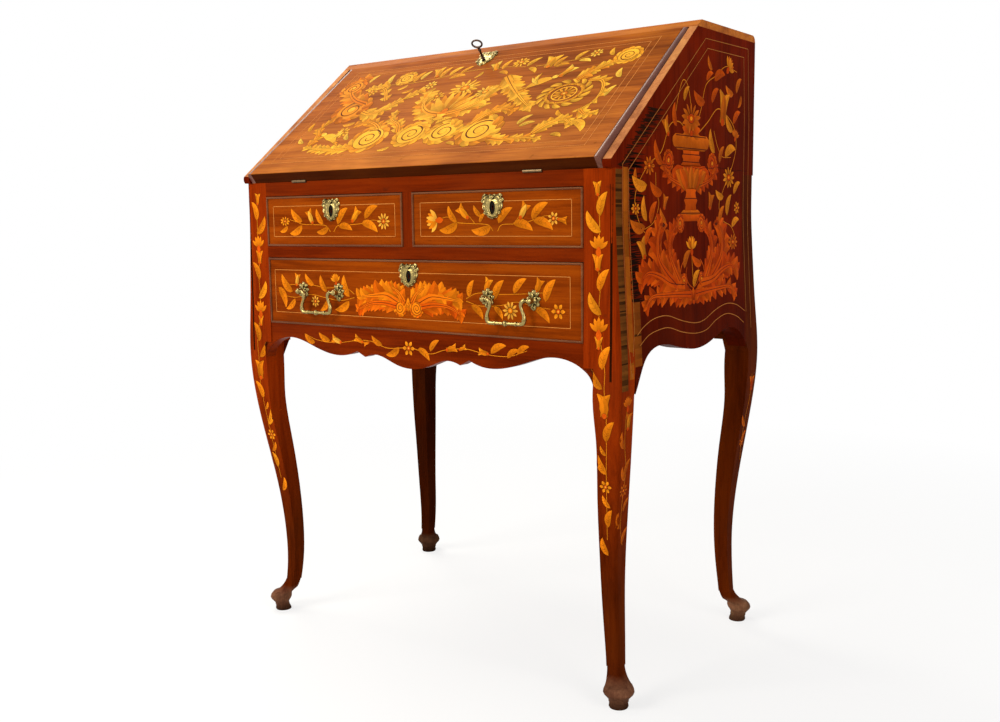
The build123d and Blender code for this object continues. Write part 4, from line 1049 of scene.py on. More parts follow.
def lay_long(cut):
    """Acanthus about the middle of the long drawer, with sprays to both sides."""
    cut.string((-304, 554), (296, 554), (296, 626), (-304, 626), loop=True)
    woods = dict(cut.tone)
    cut.tone.update(satin=(0.86, 0.215, 0.006), mid=(0.78, 0.135, 0.004), plum=(0.66, 0.085, 0.003))
    for hand in (-1, 1):
        def at(x, z):
            return (-3 + hand * x, z)

        cut.plume([at(22, 580), at(46, 590), at(72, 589), at(98, 586)], 38, 9, 0, "mid", "satin")
        cut.plume([at(24, 574), at(52, 578), at(80, 576), at(104, 566)], 30, 9, 0, "plum", "mid")
        cut.plume([at(8, 580), at(18, 594), at(34, 604)], 24, 5, 0, "mid", "satin")
        cut.whorl(at(17, 571), 13, -hand, 90, "mid", "satin")
    cut.leaf((-3, 566), (-3, 588), 0.55, 0, "satin")
    cut.tone.update(woods)
    cut.stem((112, 590), (135, 599), (170, 598), (215, 600), (240, 602), (262, 603))
    cut.stem((112, 586), (140, 580), (175, 582), (205, 588), (236, 583), (262, 580))
    cut.stem((-118, 590), (-140, 600), (-180, 598), (-215, 602), (-248, 602), (-284, 600))
    cut.stem((-118, 584), (-150, 578), (-185, 582), (-220, 586), (-256, 580), (-290, 584))
    cut.leaves(
        (118, 592, 127, 618), (165, 590, 182, 619), (200, 600, 222, 622), (255, 590, 272, 622),
        (121, 580, 143, 560), (163, 579, 179, 561), (235, 580, 261, 560), (-262, 590, -287, 619),
        (-210, 602, -230, 621), (-180, 592, -194, 619), (-129, 585, -140, 620), (-297, 596, -280, 562),
        (-257, 578, -279, 560), (-177, 580, -197, 560), (-130, 578, -162, 563), (226, 600, 238, 590),
        (-236, 586, -246, 566),
    )
    cut.tulip((148, 600), (156, 621), tone="satin")
    cut.tulip((238, 602), (247, 622), tone="pear", second="satin")
    cut.daisy((193, 575), 13.5, 10, "box", "pear")
    cut.daisy((276, 577), 11.5, 6, "satin")
    cut.tulip((-252, 600), (-248, 620), tone="pear", second="box")
    cut.carnation((-158, 601), (-161, 622), 0.95, "satin")
    cut.daisy((-208, 575), 9.5, 8, "box")


def lay_apron(cut):
    """A thin garland along the apron."""
    cut.daisy((-4, 508), 12, 6, "satin")
    cut.stem((8, 508), (40, 502), (70, 510), (110, 514), (150, 508), (190, 508), (222, 518))
    cut.stem((-16, 508), (-50, 506), (-80, 514), (-110, 515), (-160, 508), (-205, 510), (-236, 519))
    cut.leaves(
        (15, 508, 38, 491), (40, 506, 58, 524), (157, 510, 185, 523), (187, 505, 208, 518),
        (-24, 509, -52, 495), (-60, 511, -82, 524), (-177, 511, -202, 523), (-212, 506, -236, 519),
        (205, 512, 226, 524),
    )
    cut.tulip((72, 510), (92, 515), tone="pear")
    cut.tulip((97, 512), (110, 517), tone="satin")
    cut.tulip((152, 509), (134, 512), tone="satin")
    cut.tulip((-102, 512), (-120, 519), tone="satin")
    cut.tulip((-88, 513), (-100, 509), tone="pear")
    cut.tulip((-151, 509), (-172, 515), tone="pear", second="box")


def lay_post(cut):
    """Flowers up a front post and down its leg, and a strip of painted shade down its outer corner."""
    cut.stem((342, 752), (343, 720), (344, 690), (341, 650), (345, 615), (343, 580), (346, 540),
             (353, 500), (352, 470), (354, 430), (352, 395), (348, 350), (344, 300), (340, 250),
             width=0.9)
    cut.tulip((341, 737), (340, 756), 0.8, "satin")
    cut.leaves(
        (345, 710, 356, 742), (346, 688, 324, 717), (344, 608, 359, 638), (347, 576, 328, 606),
        (349, 500, 362, 533), (349, 473, 332, 500), (352, 398, 366, 428), (349, 350, 337, 378),
        (344, 270, 352, 297), (340, 226, 332, 252), (350, 300, 339, 318), (350, 378, 342, 392),
        tones=("satin", "pear"),
    )
    cut.carnation((342, 655), (343, 684), 0.95, "pear", 5)
    cut.tulip((341, 636), (341, 658), 0.9, "pear")
    cut.carnation((343, 541), (343, 572), 0.9, "pear", 5)
    cut.tulip((343, 528), (343, 545), 0.9, "satin")
    cut.tulip((351, 433), (351, 466), 0.75, "pear")
    cut.daisy((345, 331), 9.5, 6, "satin")
    # Painted shade: a near-black strip down the post's outer corner, for the shadow line there.
    edge = [Vector((362.4, z)) for z in range(484, 756, 4)]
    cut.ribbon(edge, 3.4, (0.020, 0.004, 0.001), lift=1.5)


# ---------------------------------------------------------------- side
def lay_side(cut):
    """An urn of flowers over acanthus scrolls, framed by stringing."""
    # Painted shade: the side's inlay and stringing take darker tones than the front's, for the less-lit
    # side.
    cut.tone["box"], cut.tone["line"] = cut.tone["satin"], shade(cut.tone["line"], 0.6)
    cut.tone["satin"], cut.tone["pear"] = (0.72, 0.215, 0.010), (0.56, 0.110, 0.005)
    cut.tone["mid"], cut.tone["plum"] = (0.60, 0.080, 0.0030), (0.48, 0.048, 0.0020)
    veneer = bpy.context.scene.escritoire_veneer
    any_of = cut.chance.uniform
    for index in range(120):  # black figure that runs in from the front edge
        z = 590 + index * 1.65 + any_of(-1.5, 1.5)
        cut.streak(any_of(38, 46), any_of(12, 48), z, index, any_of(0.8, 3.4), (0.010, 0.002, 0.0005))
    for index in range(60):  # and from the slope, which rises 1 mm for each 1.05 mm back
        z = 776 + index * 1.4
        start = (z - 770) * 1.05 + any_of(0, 14)
        cut.streak(start, any_of(14, 62), z, index, any_of(0.5, 2.2), (0.016, 0.004, 0.001))
    cut.crossband(1.0, 22.0, 470, 772, shade(veneer.band, 0.42), dark=0.35)
    cut.crossband(26.0, 38.5, 484, 775, (0.300, 0.072, 0.005), (18, 60), 0.08)
    cut.crossband(41.0, 62.0, 500, 590, (0.200, 0.045, 0.004), (3, 12), 0.2)
    cut.string((32, 486), (24, 540), (24, 779), (276, 974), (433, 976), (441, 863), (441, 520))
    cut.string((32, 486), (44, 560), (40, 771), (283, 960), (417, 961), (423, 862), (423, 548))
    for points in (
        ((58, 529), (84, 541), (117, 546), (147, 546), (188, 536), (231, 530), (271, 532),
         (305, 544), (346, 551), (384, 544), (412, 531)),
        ((51, 544), (70, 554), (102, 563), (142, 564), (188, 553), (231, 546), (264, 548),
         (304, 560), (346, 567), (384, 563), (418, 550)),
    ):
        line = flowing(points, 5)
        cut.ribbon(line, 1.7, cut.tone["ink"], lift=0.8)
        cut.ribbon(line, 1.1, cut.tone["line"], lift=1.0)
    cut.stem((230, 835), (228, 870), (216, 900), (200, 905), (186, 880), (176, 850), width=1.4)
    cut.stem((215, 832), (190, 845), (160, 838), (135, 800), (100, 782), (70, 756), (58, 730),
             (70, 700), (92, 680), (110, 664), width=1.4)
    cut.stem((118, 770), (120, 745), (128, 725), (112, 700), (84, 690), width=1.1)
    cut.stem((240, 832), (262, 868), (278, 905), (312, 922), (350, 940), (390, 935), width=1.4)
    cut.stem((250, 830), (285, 850), (318, 872), (345, 868), (380, 850), (392, 820), (380, 790),
             (362, 768), (340, 742), (330, 722), (345, 700), (375, 690), (392, 670), width=1.4)
    cut.stem((308, 838), (322, 815), (340, 800), (372, 800), width=1.1)
    cut.leaves(
        (182, 838, 176, 872), (138, 782, 116, 816), (92, 752, 50, 764), (138, 742, 102, 757),
        (92, 702, 84, 737), (104, 697, 122, 729), (86, 694, 44, 704), (86, 668, 108, 692),
        (206, 876, 222, 898), (275, 880, 237, 894), (280, 912, 303, 925), (308, 914, 346, 926),
        (390, 902, 409, 926), (378, 900, 349, 911), (300, 880, 323, 903), (380, 853, 406, 873),
        (378, 842, 352, 866), (312, 805, 296, 841), (330, 790, 346, 816), (350, 800, 389, 813),
        (385, 742, 409, 761), (346, 738, 317, 748), (360, 708, 376, 741), (332, 695, 349, 723),
        (378, 689, 406, 701), (365, 666, 349, 691), (203, 630, 226, 656), (262, 636, 230, 649),
        (232, 600, 254, 625), (150, 700, 132, 720), (408, 900, 396, 880), (66, 748, 60, 775),
        (300, 930, 285, 950),
        width=0.52, bend=0.16, tones=("pear", "satin", "mid"),
    )
    cut.tulip((156, 824), (144, 848), 0.9, "pear", "satin")
    cut.daisy((99, 779), 16, 9, "pear", squash=0.85)
    cut.daisy((60, 719), 12, 8, "satin", squash=0.7)
    cut.tulip((144, 718), (150, 738), 0.9, "pear")
    cut.tulip((82, 650), (72, 677), 1.0, "satin", "pear")
    cut.carnation((352, 930), (372, 952), 1.1, "satin")
    cut.tulip((338, 850), (346, 900), 0.85, "satin", "pear")
    cut.carnation((386, 826), (390, 845), 1.4, "pear")
    cut.daisy((365, 768), 21, 11, "satin", "plum", 0.8)
    cut.tulip((296, 718), (302, 742), 1.0, "pear")
    cut.daisy((397, 720), 10, 7, "satin")
    cut.daisy((380, 665), 17, 10, "pear", squash=0.75)
    cut.shell((230, 830), 30, 90, 200, 9, "mid", "pear")
    cut.daisy((229, 852), 31, 13, "pear", "plum", 0.74, 0.3)
    cut.carnation((230, 648), (230, 678), 1.15, "box")
    lay_urn(cut)
    crack = [Vector((y, 781 + 1.6 * math.sin(y / 23) + 0.9 * math.sin(y / 7))) for y in range(96, 440, 6)]
    widths = [0.35 + 0.3 * abs(math.sin(i * 0.7)) for i in range(len(crack))]
    cut.ribbon(crack, widths, shade(cut.tone["ink"], 0.35), lift=2.8)
    for hand in (-1, 1):
        def at(out, z):
            return (230 + hand * out, z)

        for spots, width, leaves, tone, tip in (
            ([(8, 590), (40, 592), (90, 594), (130, 594), (150, 582)], 34, 9, "plum", "mid"),
            ([(28, 606), (70, 610), (104, 622), (136, 628), (156, 622)], 44, 10, "mid", "plum"),
            ([(52, 606), (84, 626), (106, 648), (108, 672), (98, 694)], 46, 9, "plum", "mid"),
            ([(44, 612), (60, 632), (72, 654), (68, 676), (50, 694)], 34, 8, "mid", "plum"),
        ):
            cut.plume([at(*spot) for spot in spots], width, leaves, 0, tone, tip)
        cut.whorl(at(36, 697), 13, -hand, 90, "plum", "mid")
        cut.whorl(at(30, 612), 10, hand, 0, "plum", "mid")
        cut.stem(at(6, 588), at(26, 594), at(40, 610), at(38, 630), at(28, 642), width=2.0, tone="mid")
        cut.stem(at(2, 600), at(14, 606), at(22, 620), at(18, 632), width=1.2, tone="mid")
    cut.stem((231, 606), (230, 630), (229, 652), width=1.4)
    cut.shell((230, 578), 22, 90, 170, 7, "mid", "plum")


def lay_leg_sides(cut):
    """Flowers down the outer faces of the front and rear legs."""
    cut.stem((24, 462), (18, 430), (20, 395), (30, 355), (30, 310), (34, 270), (44, 240), width=0.9)
    cut.carnation((22, 440), (20, 462), 1.0, "pear")
    cut.tulip((25, 414), (27, 438), 0.8, "pear", "satin")
    cut.leaves(
        (18, 388, 10, 414), (28, 346, 40, 371), (30, 340, 20, 362), (31, 268, 24, 294),
        (42, 242, 54, 266), (36, 292, 48, 312),
        width=0.44,
    )
    cut.daisy((30, 325), 10, 8, "pear")
    cut.stem((450, 440), (448, 400), (438, 360), (436, 320), (440, 290), width=0.9)
    cut.tulip((450, 412), (451, 436), 0.9, "pear", "plum")
    cut.leaf((443, 350), (427, 371), 0.44)
    cut.leaf((437, 318), (448, 342), 0.44)
    cut.daisy((436, 323), 8, 7, "pear")


def lay_urn(cut):
    """A footed urn with scrolled, leafy handles."""
    middle = 230
    for stations, tone in (
        ([(700, 44), (703, 47), (707, 47), (711, 38)], "mid"),
        ([(709, 34), (713, 32), (717, 24)], "pear"),
        ([(716, 19), (724, 17), (731, 22), (737, 17), (743, 15), (750, 22)], "mid"),
        ([(748, 24), (753, 40), (760, 56), (768, 63), (776, 60), (783, 46)], "plum"),
        ([(782, 36), (786, 29), (791, 26), (796, 30), (801, 26), (806, 28)], "mid"),
        ([(805, 44), (810, 57), (817, 61), (823, 60), (828, 52)], "pear"),
    ):
        cut.outline(stations, middle, tone)
    for hand in (-1, 1):
        base = (middle + hand * 14, 752)
        cut.plume([base, (middle + hand * 44, 757), (middle + hand * 74, 766),
                   (middle + hand * 90, 782)], 24, 6, 0, "mid", "plum")
        cut.whorl((middle + hand * 73, 788), 15, -hand, 90, "mid", "plum")
    for index in range(9):
        t = (index - 4) / 4
        base, tip = (middle + t * 18, 749), (middle + t * 50, 782 - 8 * t * t)
        cut.lobe(base, tip, 0.5, "mid" if index % 2 else "pear", 0.08 * t, 2.6 - abs(t) * 0.4)
    for z, half in ((788, 30), (799, 30), (808, 52), (826, 50), (712, 32), (734, 22)):
        cut.ribbon([Vector((middle - half, z)), Vector((middle + half, z))], 1.4,
                   cut.tone["ink"], lift=2.2)


# ---------------------------------------------------------------- fall
def lay_fall(cut):
    """Scrolls, birds and flowers that fill the fall between two strings."""
    for inset, low, high in ((302, 40, 296), (314, 28, 308)):
        cut.string((-inset, low), (inset, low), (inset, high), (-inset, high), loop=True)
    cut.tone["plum"], cut.tone["mid"] = (0.66, 0.165, 0.008), (0.76, 0.250, 0.014)
    cut.tone["pear"], cut.tone["satin"] = (0.84, 0.330, 0.020), (0.90, 0.410, 0.030)
    cut.tone["box"] = (0.95, 0.520, 0.055)
    lay_fall_middle(cut)
    lay_fall_left(cut)
    lay_fall_right(cut)
    lay_fall_flowers(cut)
    lay_fall_birds(cut)


def lay_fall_middle(cut):
    """A great basket of flowers on a stem, between wound scrolls."""
    for hand in (-1, 1):
        cut.plume([(-8 + hand * 6, 140), (-8 + hand * 36, 150), (-8 + hand * 60, 172),
                   (-8 + hand * 66, 202)], 40, 9, 0, "mid", "satin")
        cut.whorl((-6 + hand * 33, 88), 32, hand, 90, "pear", "satin")
        cut.leaf((-8 + hand * 4, 112), (-8 + hand * 30, 128), 0.5, 0.2 * hand, "satin")
    cut.shell((-8, 138), 66, 90, 128, 11, "mid", "satin")
    cut.shell((-8, 150), 38, 90, 120, 9, "pear", "box")
    cut.outline([(122, 5), (127, 12), (132, 5), (140, 10)], -8, "satin", 2.4)
    cut.daisy((-6, 214), 30, 13, "satin", "plum", 0.85, 0.5)
    cut.daisy((-6, 214), 17, 10, "box", "pear", 0.85)
    cut.daisy((46, 196), 19, 11, "box", "mid", 0.9)
    cut.daisy((-54, 196), 15, 9, "satin", "plum", 0.9)


def lay_fall_left(cut):
    """Scrolls of the left half: a rose, a rising frond and a long tail."""
    cut.plume([(-216, 196), (-250, 212), (-278, 236), (-290, 262), (-276, 284)], 40, 10, 0, "plum", "mid")
    cut.whorl((-236, 180), 38, 1, 30, "plum", "mid")
    cut.whorl((-286, 254), 26, -1, 200, "plum", "mid")
    cut.plume([(-204, 170), (-176, 160), (-150, 176), (-124, 204), (-104, 220)], 30, 10, 0, "pear", "satin")
    cut.whorl((-128, 84), 36, -1, 120, "mid", "satin")
    cut.plume([(-152, 60), (-190, 58), (-224, 62), (-262, 70)], 28, 8, 0, "pear", "satin")
    cut.plume([(-262, 74), (-256, 100), (-272, 126), (-262, 150)], 24, 7, 0, "mid", "pear")
    cut.plume([(-112, 96), (-134, 120), (-160, 134), (-184, 132)], 30, 8, 0, "pear", "mid")
    cut.plume([(-72, 96), (-88, 120), (-112, 136), (-118, 158)], 26, 7, 0, "mid", "satin")
    cut.plume([(-170, 200), (-196, 236), (-222, 250), (-242, 244)], 22, 7, 0, "pear", "satin")
    cut.daisy((-205, 108), 15, 9, "satin")


def lay_fall_right(cut):
    """Scrolls of the right half: an oval wreath, a plumed body and a wound tail."""
    cut.wreath((210, 168), 38, 32, "satin", 15)
    cut.daisy((210, 168), 20, 11, "pear", "plum", 0.85)
    cut.plume([(238, 200), (262, 196), (276, 168), (274, 136), (256, 118)], 22, 9, 1, "pear", "satin")
    cut.plume([(214, 204), (232, 226), (258, 246), (284, 254)], 26, 8, 0, "mid", "satin")
    cut.whorl((278, 262), 22, -1, 0, "pear", "satin")
    cut.plume([(66, 238), (88, 212), (112, 186), (136, 162), (160, 140)], 36, 11, 0, "pear", "satin")
    cut.whorl((100, 84), 38, 1, 60, "mid", "satin")
    cut.plume([(74, 104), (88, 128), (110, 140), (134, 132)], 30, 8, 0, "pear", "mid")
    cut.plume([(126, 62), (160, 54), (196, 56), (224, 50)], 24, 8, 0, "mid", "satin")
    cut.plume([(206, 66), (224, 88), (246, 96), (262, 84)], 26, 8, 0, "pear", "satin")
    cut.plume([(262, 118), (276, 106), (292, 108)], 20, 5, 0, "mid", "satin")
    cut.leaf((262, 92), (290, 62), 0.5, 0.16, "satin")


def lay_fall_flowers(cut):
    """Sprays of leaves and small flowers over the scrolls."""
    cut.whorl((-168, 268), 20, 1, 40, "pear", "satin")
    cut.daisy((-226, 234), 13, 9, "satin")
    cut.daisy((-92, 236), 12, 8, "box")
    cut.daisy((72, 278), 16, 10, "satin", squash=0.8)
    cut.daisy((214, 280), 11, 8, "box")
    cut.tulip((136, 252), (136, 286), 1.0, "satin", "pear")
    cut.tulip((30, 262), (18, 286), 0.9, "box", "pear")
    cut.tulip((-96, 262), (-104, 290), 0.9, "satin", "pear")
    cut.tulip((176, 222), (192, 246), 0.9, "box", "pear")
    cut.stem((-196, 252), (-150, 250), (-90, 256), (-40, 268), (30, 270), (90, 262), width=1.2)
    cut.stem((110, 260), (150, 262), (190, 268), (214, 280), width=1.2)
    cut.leaves(
        (-140, 252, -132, 284), (-128, 258, -118, 284), (-84, 258, -76, 290), (-68, 262, -50, 286),
        (-62, 250, -30, 256), (-44, 262, -28, 284), (4, 262, -6, 244), (44, 262, 50, 290),
        (40, 254, 62, 244), (92, 262, 110, 286), (98, 256, 118, 240), (150, 252, 162, 280),
        (152, 250, 176, 256), (182, 266, 196, 290), (190, 262, 214, 256), (-200, 258, -206, 288),
        (-190, 248, -214, 268), (-256, 268, -246, 292), (-150, 246, -166, 232), (-128, 232, -148, 220),
        (-74, 226, -96, 210), (-160, 150, -184, 146), (-196, 138, -222, 132), (-216, 92, -236, 106),
        (-176, 86, -190, 106), (166, 92, 182, 116), (172, 86, 196, 96), (148, 140, 168, 150),
        (150, 132, 172, 124), (62, 146, 80, 160), (-62, 56, -84, 48), (52, 56, 72, 48),
        (240, 60, 262, 52), (288, 150, 296, 178), (292, 200, 284, 226), (250, 268, 242, 290),
        (-292, 120, -298, 146), (-280, 84, -298, 100), (236, 108, 222, 124),
        bend=0.16, tones=("satin", "pear", "box"),
    )


def lay_fall_birds(cut):
    """Two birds among the scrolls."""
    for hand, x, s in ((1, 148, 206), (-1, -226, 92)):
        cut.petal((x - hand * 22, s - 12), (x + hand * 18, s + 10), 0.40, "satin", 0.12 * hand, 0.7, 2.4)
        for k in range(4):
            base = (x - hand * (4 + 2 * k), s - 2 + k)
            cut.leaf(base, (x - hand * (24 - 4 * k), s + 18 + 4 * k), 0.28, 0.1 * hand,
                     ("box", "pear")[k % 2], 1, 2.7)
        for k in range(3):
            cut.leaf((x - hand * 17, s - 10), (x - hand * (38 - 3 * k), s - 24 + 8 * k), 0.24,
                     0.05, ("pear", "mid")[k % 2], 1, 2.2)
        cut.disc((x + hand * 20, s + 14), 5.8, 5.0, "box", 2.9)
        cut.petal((x + hand * 24, s + 15), (x + hand * 34, s + 12), 0.34, "plum", 0, 0.9, 3.0)
        cut.disc((x + hand * 22, s + 16), 1.0, 1.0, "ink", 3.3, 0.2)


# ---------------------------------------------------------------- brass and iron
class Casting:
    """Closed metal forms of one piece, in millimetres across, up and out from its seat."""

    def __init__(self, seat, up=(0, 0, 1)):
        across, up = Vector((1, 0, 0)), Vector(up)
        self.matrix = Matrix((across * MM, up * MM, across.cross(up) * MM)).transposed().to_4x4()
        self.matrix.translation = Vector(seat)
        self.verts, self.faces = [], []

    def skin(self, rings, loop=False):
        """A skin over rings of points, capped at its ends unless it loops."""
        first, count = len(self.verts), len(rings[0])
        for ring in rings:
            self.verts += [self.matrix @ Vector(point) for point in ring]
        for index in range(len(rings) if loop else len(rings) - 1):
            low, high = first + index * count, first + (index + 1) % len(rings) * count
            for i in range(count):
                j = (i + 1) % count
                self.faces.append((low + i, low + j, high + j, high + i))
        if not loop:
            last = first + (len(rings) - 1) * count
            self.faces.append(tuple(first + i for i in reversed(range(count))))
            self.faces.append(tuple(last + i for i in range(count)))

    def tube(self, line, radii, steps=14, loop=False):
        """A round bar along a line, with a radius at each point."""
        line = [Vector(p) for p in line]
        count, rings = len(line), []
        aside = Vector((0.31, 0.17, 0.94))  # any way that no bar runs along
        for index, (point, radius) in enumerate(zip(line, radii)):
            after = line[(index + 1) % count] if loop else line[min(index + 1, count - 1)]
            before = line[index - 1] if loop or index else line[0]
            along = (after - before).normalized()
            aside = (aside - along * aside.dot(along)).normalized()
            third = along.cross(aside)
            turns = [2 * math.pi * i / steps for i in range(steps)]
            rings.append([point + (aside * math.cos(a) + third * math.sin(a)) * radius for a in turns])
        self.skin(rings, loop)

    def turned(self, seat, axis, profile, steps=20, ribs=0, depth=0.0):
        """A turned form from (distance, radius) pairs along an axis, with ribs if any."""
        seat, axis = Vector(seat), Vector(axis).normalized()
        aside = axis.orthogonal().normalized()
        third = axis.cross(aside)
        rings = []
        for reach, radius in profile:
            ring = []
            for a in (2 * math.pi * i / steps for i in range(steps)):
                wide = radius * (1 + depth * math.cos(ribs * a))
                ring.append(seat + axis * reach + (aside * math.cos(a) + third * math.sin(a)) * wide)
            rings.append(ring)
        self.skin(rings)

    def relief(self, outline, inner, steps, ribs=0, loop=False):
        """A plate from an inner line out to the outline, raised by its steps.

        Each step holds the share of the way out, the height and the depth of the ribs.
        """
        count, rings = len(outline), []
        for share, height, depth in steps:
            waves = [depth * math.cos(ribs * 2 * math.pi * i / count) for i in range(count)]
            ring = [near.lerp(edge, share) for near, edge in zip(inner, outline)]
            rings.append([(p.x, p.y, height + wave) for p, wave in zip(ring, waves)])
        self.skin(rings, loop)

    def cast(self, name, body, node, material):
        """Makes the piece, in place of the frame's node if one is given."""
        mesh = bpy.data.meshes.new(name)
        mesh.from_pydata(self.verts, [], self.faces)
        work = bmesh.new()
        work.from_mesh(mesh)
        bmesh.ops.recalc_face_normals(work, faces=work.faces)
        work.to_mesh(mesh)
        work.free()
        mesh.materials.append(material)
        mesh.shade_smooth()
        mesh.set_sharp_from_angle(angle=math.radians(50))
        add_piece(name, mesh, body, node)


def full_outline(half, width=1.0, height=1.0):
    """A closed smooth outline from its right half."""
    line = flowing([(x * width, y * height) for x, y in half], 4)
    return line + [Vector((-p.x, p.y)) for p in line[-2:0:-1]]


def joint_place(name):
    """Where a joint of the frame stands."""
    return Vector(JOINTS[name]["pos_m"])


CARTOUCHE_SIZE = (40, 37)
CARTOUCHE = (
    (0, 15.6), (3.4, 18.3), (6.6, 16.4), (9.6, 17.6), (14.0, 18.5), (17.6, 16.2), (16.4, 13.0),
    (19.2, 11.8), (20.0, 8.2), (17.4, 5.6), (18.4, 1.6), (17.4, -3.0), (14.8, -6.6),
    (14.0, -10.2), (10.4, -12.4), (8.8, -15.6), (4.8, -16.2), (2.6, -18.0), (0, -18.5),
)  # right half of an escutcheon, from the top down
CARTOUCHE_STEPS = (
    (0.0, 0.0, 0), (0.0, 1.5, 0), (0.04, 1.9, 0), (0.12, 1.7, 0), (0.26, 1.0, 0), (0.42, 0.9, 0),
    (0.52, 1.5, 0.1), (0.59, 2.5, 0.35), (0.66, 2.9, 0.5), (0.73, 2.4, 0.6), (0.79, 1.5, 0.45),
    (0.86, 2.0, 0.7), (0.92, 2.1, 0.75), (0.97, 1.4, 0.5), (1.0, 0.8, 0.1), (1.0, 0.0, 0),
)
DRAWER_HOLE = (4.9, 9.4, -1.6)  # half its width, half its height, its middle over the seat
FALL_CARTOUCHE_SIZE, FALL_CARTOUCHE_RISE, FALL_HOLE = (36, 43), 5.5, (2.9, 4.4, -1.0)
CARTOUCHE_SCROLLS = (
    (13.8, 14.2, 3.4, 200, 1), (16.6, 7.6, 2.4, 120, -1), (12.6, -8.6, 2.2, 250, 1),
)  # across, up, radius, first angle in degrees and hand


def cast_escutcheon(node, body, seat, up, size, rise, hole):
    """A scrolled cartouche in relief about its keyhole, which is given like DRAWER_HOLE."""
    width, height = (s / whole for s, whole in zip(size, CARTOUCHE_SIZE))
    work = Casting(seat, up)
    outline = [p + Vector((0, rise)) for p in full_outline(CARTOUCHE, width, height)]
    inner = []
    for edge in outline:
        angle = math.atan2(edge.y - rise * 0.4, edge.x)
        inner.append(Vector((math.cos(angle) * hole[0], math.sin(angle) * hole[1] + hole[2])))
    work.relief(outline, inner, CARTOUCHE_STEPS, 13, loop=True)
    for hand in (-1, 1):
        for x, y, radius, start, way in CARTOUCHE_SCROLLS:
            centre = (hand * x * width, y * height + rise)
            angle = start if hand > 0 else 180 - start
            line = spiral(centre, radius, angle, 1.2, way * hand, 0.15, 18)
            line = [Vector((p.x, p.y, 2.3 + 0.5 * i / 18)) for i, p in enumerate(line)]
            work.tube(line, [0.95 - 0.45 * i / 18 for i in range(19)], 8)
    crest = Vector((0, 10.4 * height + rise, 2.6))
    for index in range(5):
        way = heading(math.radians(90 + 22 * (index - 2))).to_3d()
        frond = [crest, crest + way * 2.6 + Vector((0, 0, 0.9)), crest + way * 5.8]
        work.tube(frond, (0.6, 1.05, 0.5), 8)
    work.cast(f"{node}_cast", body, node, MADE["old_brass"])


ROSETTE = (
    (0, 15.5), (3.2, 14.4), (4.2, 11.4), (8.0, 12.4), (9.8, 9.2), (7.6, 6.2), (11.8, 4.6),
    (12.0, 0.8), (8.6, -1.8), (10.8, -5.4), (8.4, -9.0), (4.6, -8.8), (4.4, -12.6),
    (1.6, -14.2), (0, -15.5),
)  # right half of a handle's rosette, 24 mm wide and 31 mm high
ROSETTE_STEPS = (
    (0.05, 0.0, 0), (0.05, 3.2, 0), (0.25, 3.0, 0.2), (0.42, 1.9, 0.4), (0.55, 1.6, 0.5),
    (0.70, 2.5, 0.8), (0.84, 2.3, 0.8), (0.94, 1.5, 0.5), (1.0, 0.8, 0.1), (1.0, 0.0, 0),
)
ROSETTE_FRONDS = ((90, 11.0), (38, 8.5), (142, 8.5), (-38, 7.5), (-142, 7.5), (-90, 10))
POST = (
    (0.4, 6.6), (2.6, 6.2), (4.0, 4.6), (6.4, 3.5), (8.6, 3.4), (9.6, 4.5), (10.4, 4.7),
    (11.2, 4.3), (12.4, 4.8), (14.0, 4.8), (15.6, 4.1), (16.6, 2.9), (17.3, 2.4), (18.2, 1.8),
    (18.7, 0.7),
)  # distance from the drawer's face, and radius
HANDLE_HALF = 41.0  # from a bail's middle to its posts
PIVOT_OUT = 13.4  # from a drawer's face to a bail's pins


def cast_posts():
    """Four leafy rosettes, each with the swelling post that holds a bail's pin."""
    posts = Casting((0, 0, 0))
    for side in ("left", "right"):
        pivot = joint_place(f"bail_{side}_swing")
        low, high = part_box(f"bail_{side}")
        middle = (low.x + high.x) / 2
        for hand in (-1, 1):
            work = Casting((middle + hand * HANDLE_HALF * MM, pivot.y + PIVOT_OUT * MM, pivot.z))
            outline = full_outline(ROSETTE)
            work.relief(outline, [Vector((0, 0))] * len(outline), ROSETTE_STEPS, 9)
            work.turned((0, 0, 0), (0, 0, 1), POST, 24, 8, 0.06)
            for turn, reach in ROSETTE_FRONDS:
                way = heading(math.radians(turn)).to_3d()
                stations = ((3.5, 2.6), (reach * 0.7, 3.6), (reach, 2.4))
                frond = [way * out + Vector((0, 0, height)) for out, height in stations]
                work.tube(frond, (1.5, 1.3, 0.6), 8)
            first = len(posts.verts)
            posts.verts += work.verts
            posts.faces += [tuple(first + i for i in face) for face in work.faces]
    posts.cast("handle_rosettes", "long_drawer", "handle_posts", MADE["old_brass"])


BAIL_DROP = 34.0
BAIL_LINE = (
    (37.4, 0), (34.6, 0), (30.8, -0.9), (28.0, -4.2), (27.6, -9.0), (29.8, -15.0),
    (32.5, -21.0), (33.2, -27.5), (31.2, -32.4), (25.5, -BAIL_DROP), (13.0, -BAIL_DROP),
    (0.0, -BAIL_DROP),
)  # from the right pin round to the middle
BAIL_RADII = (1.6, 2.5, 3.2, 3.1, 2.6, 2.4, 2.7, 3.2, 3.3, 2.9, 2.3, 2.5)
BAIL_BALUSTER = (
    (-4.4, 2.3), (-3.9, 3.3), (-2.9, 3.6), (-2.1, 3.0), (-1.6, 4.1), (-0.8, 4.6), (0.8, 4.6),
    (1.6, 4.1), (2.1, 3.0), (2.9, 3.6), (3.9, 3.3), (4.4, 2.3),
)
BAIL_RING = ((-1.9, 2.3), (-1.2, 3.5), (1.2, 3.5), (1.9, 2.3))
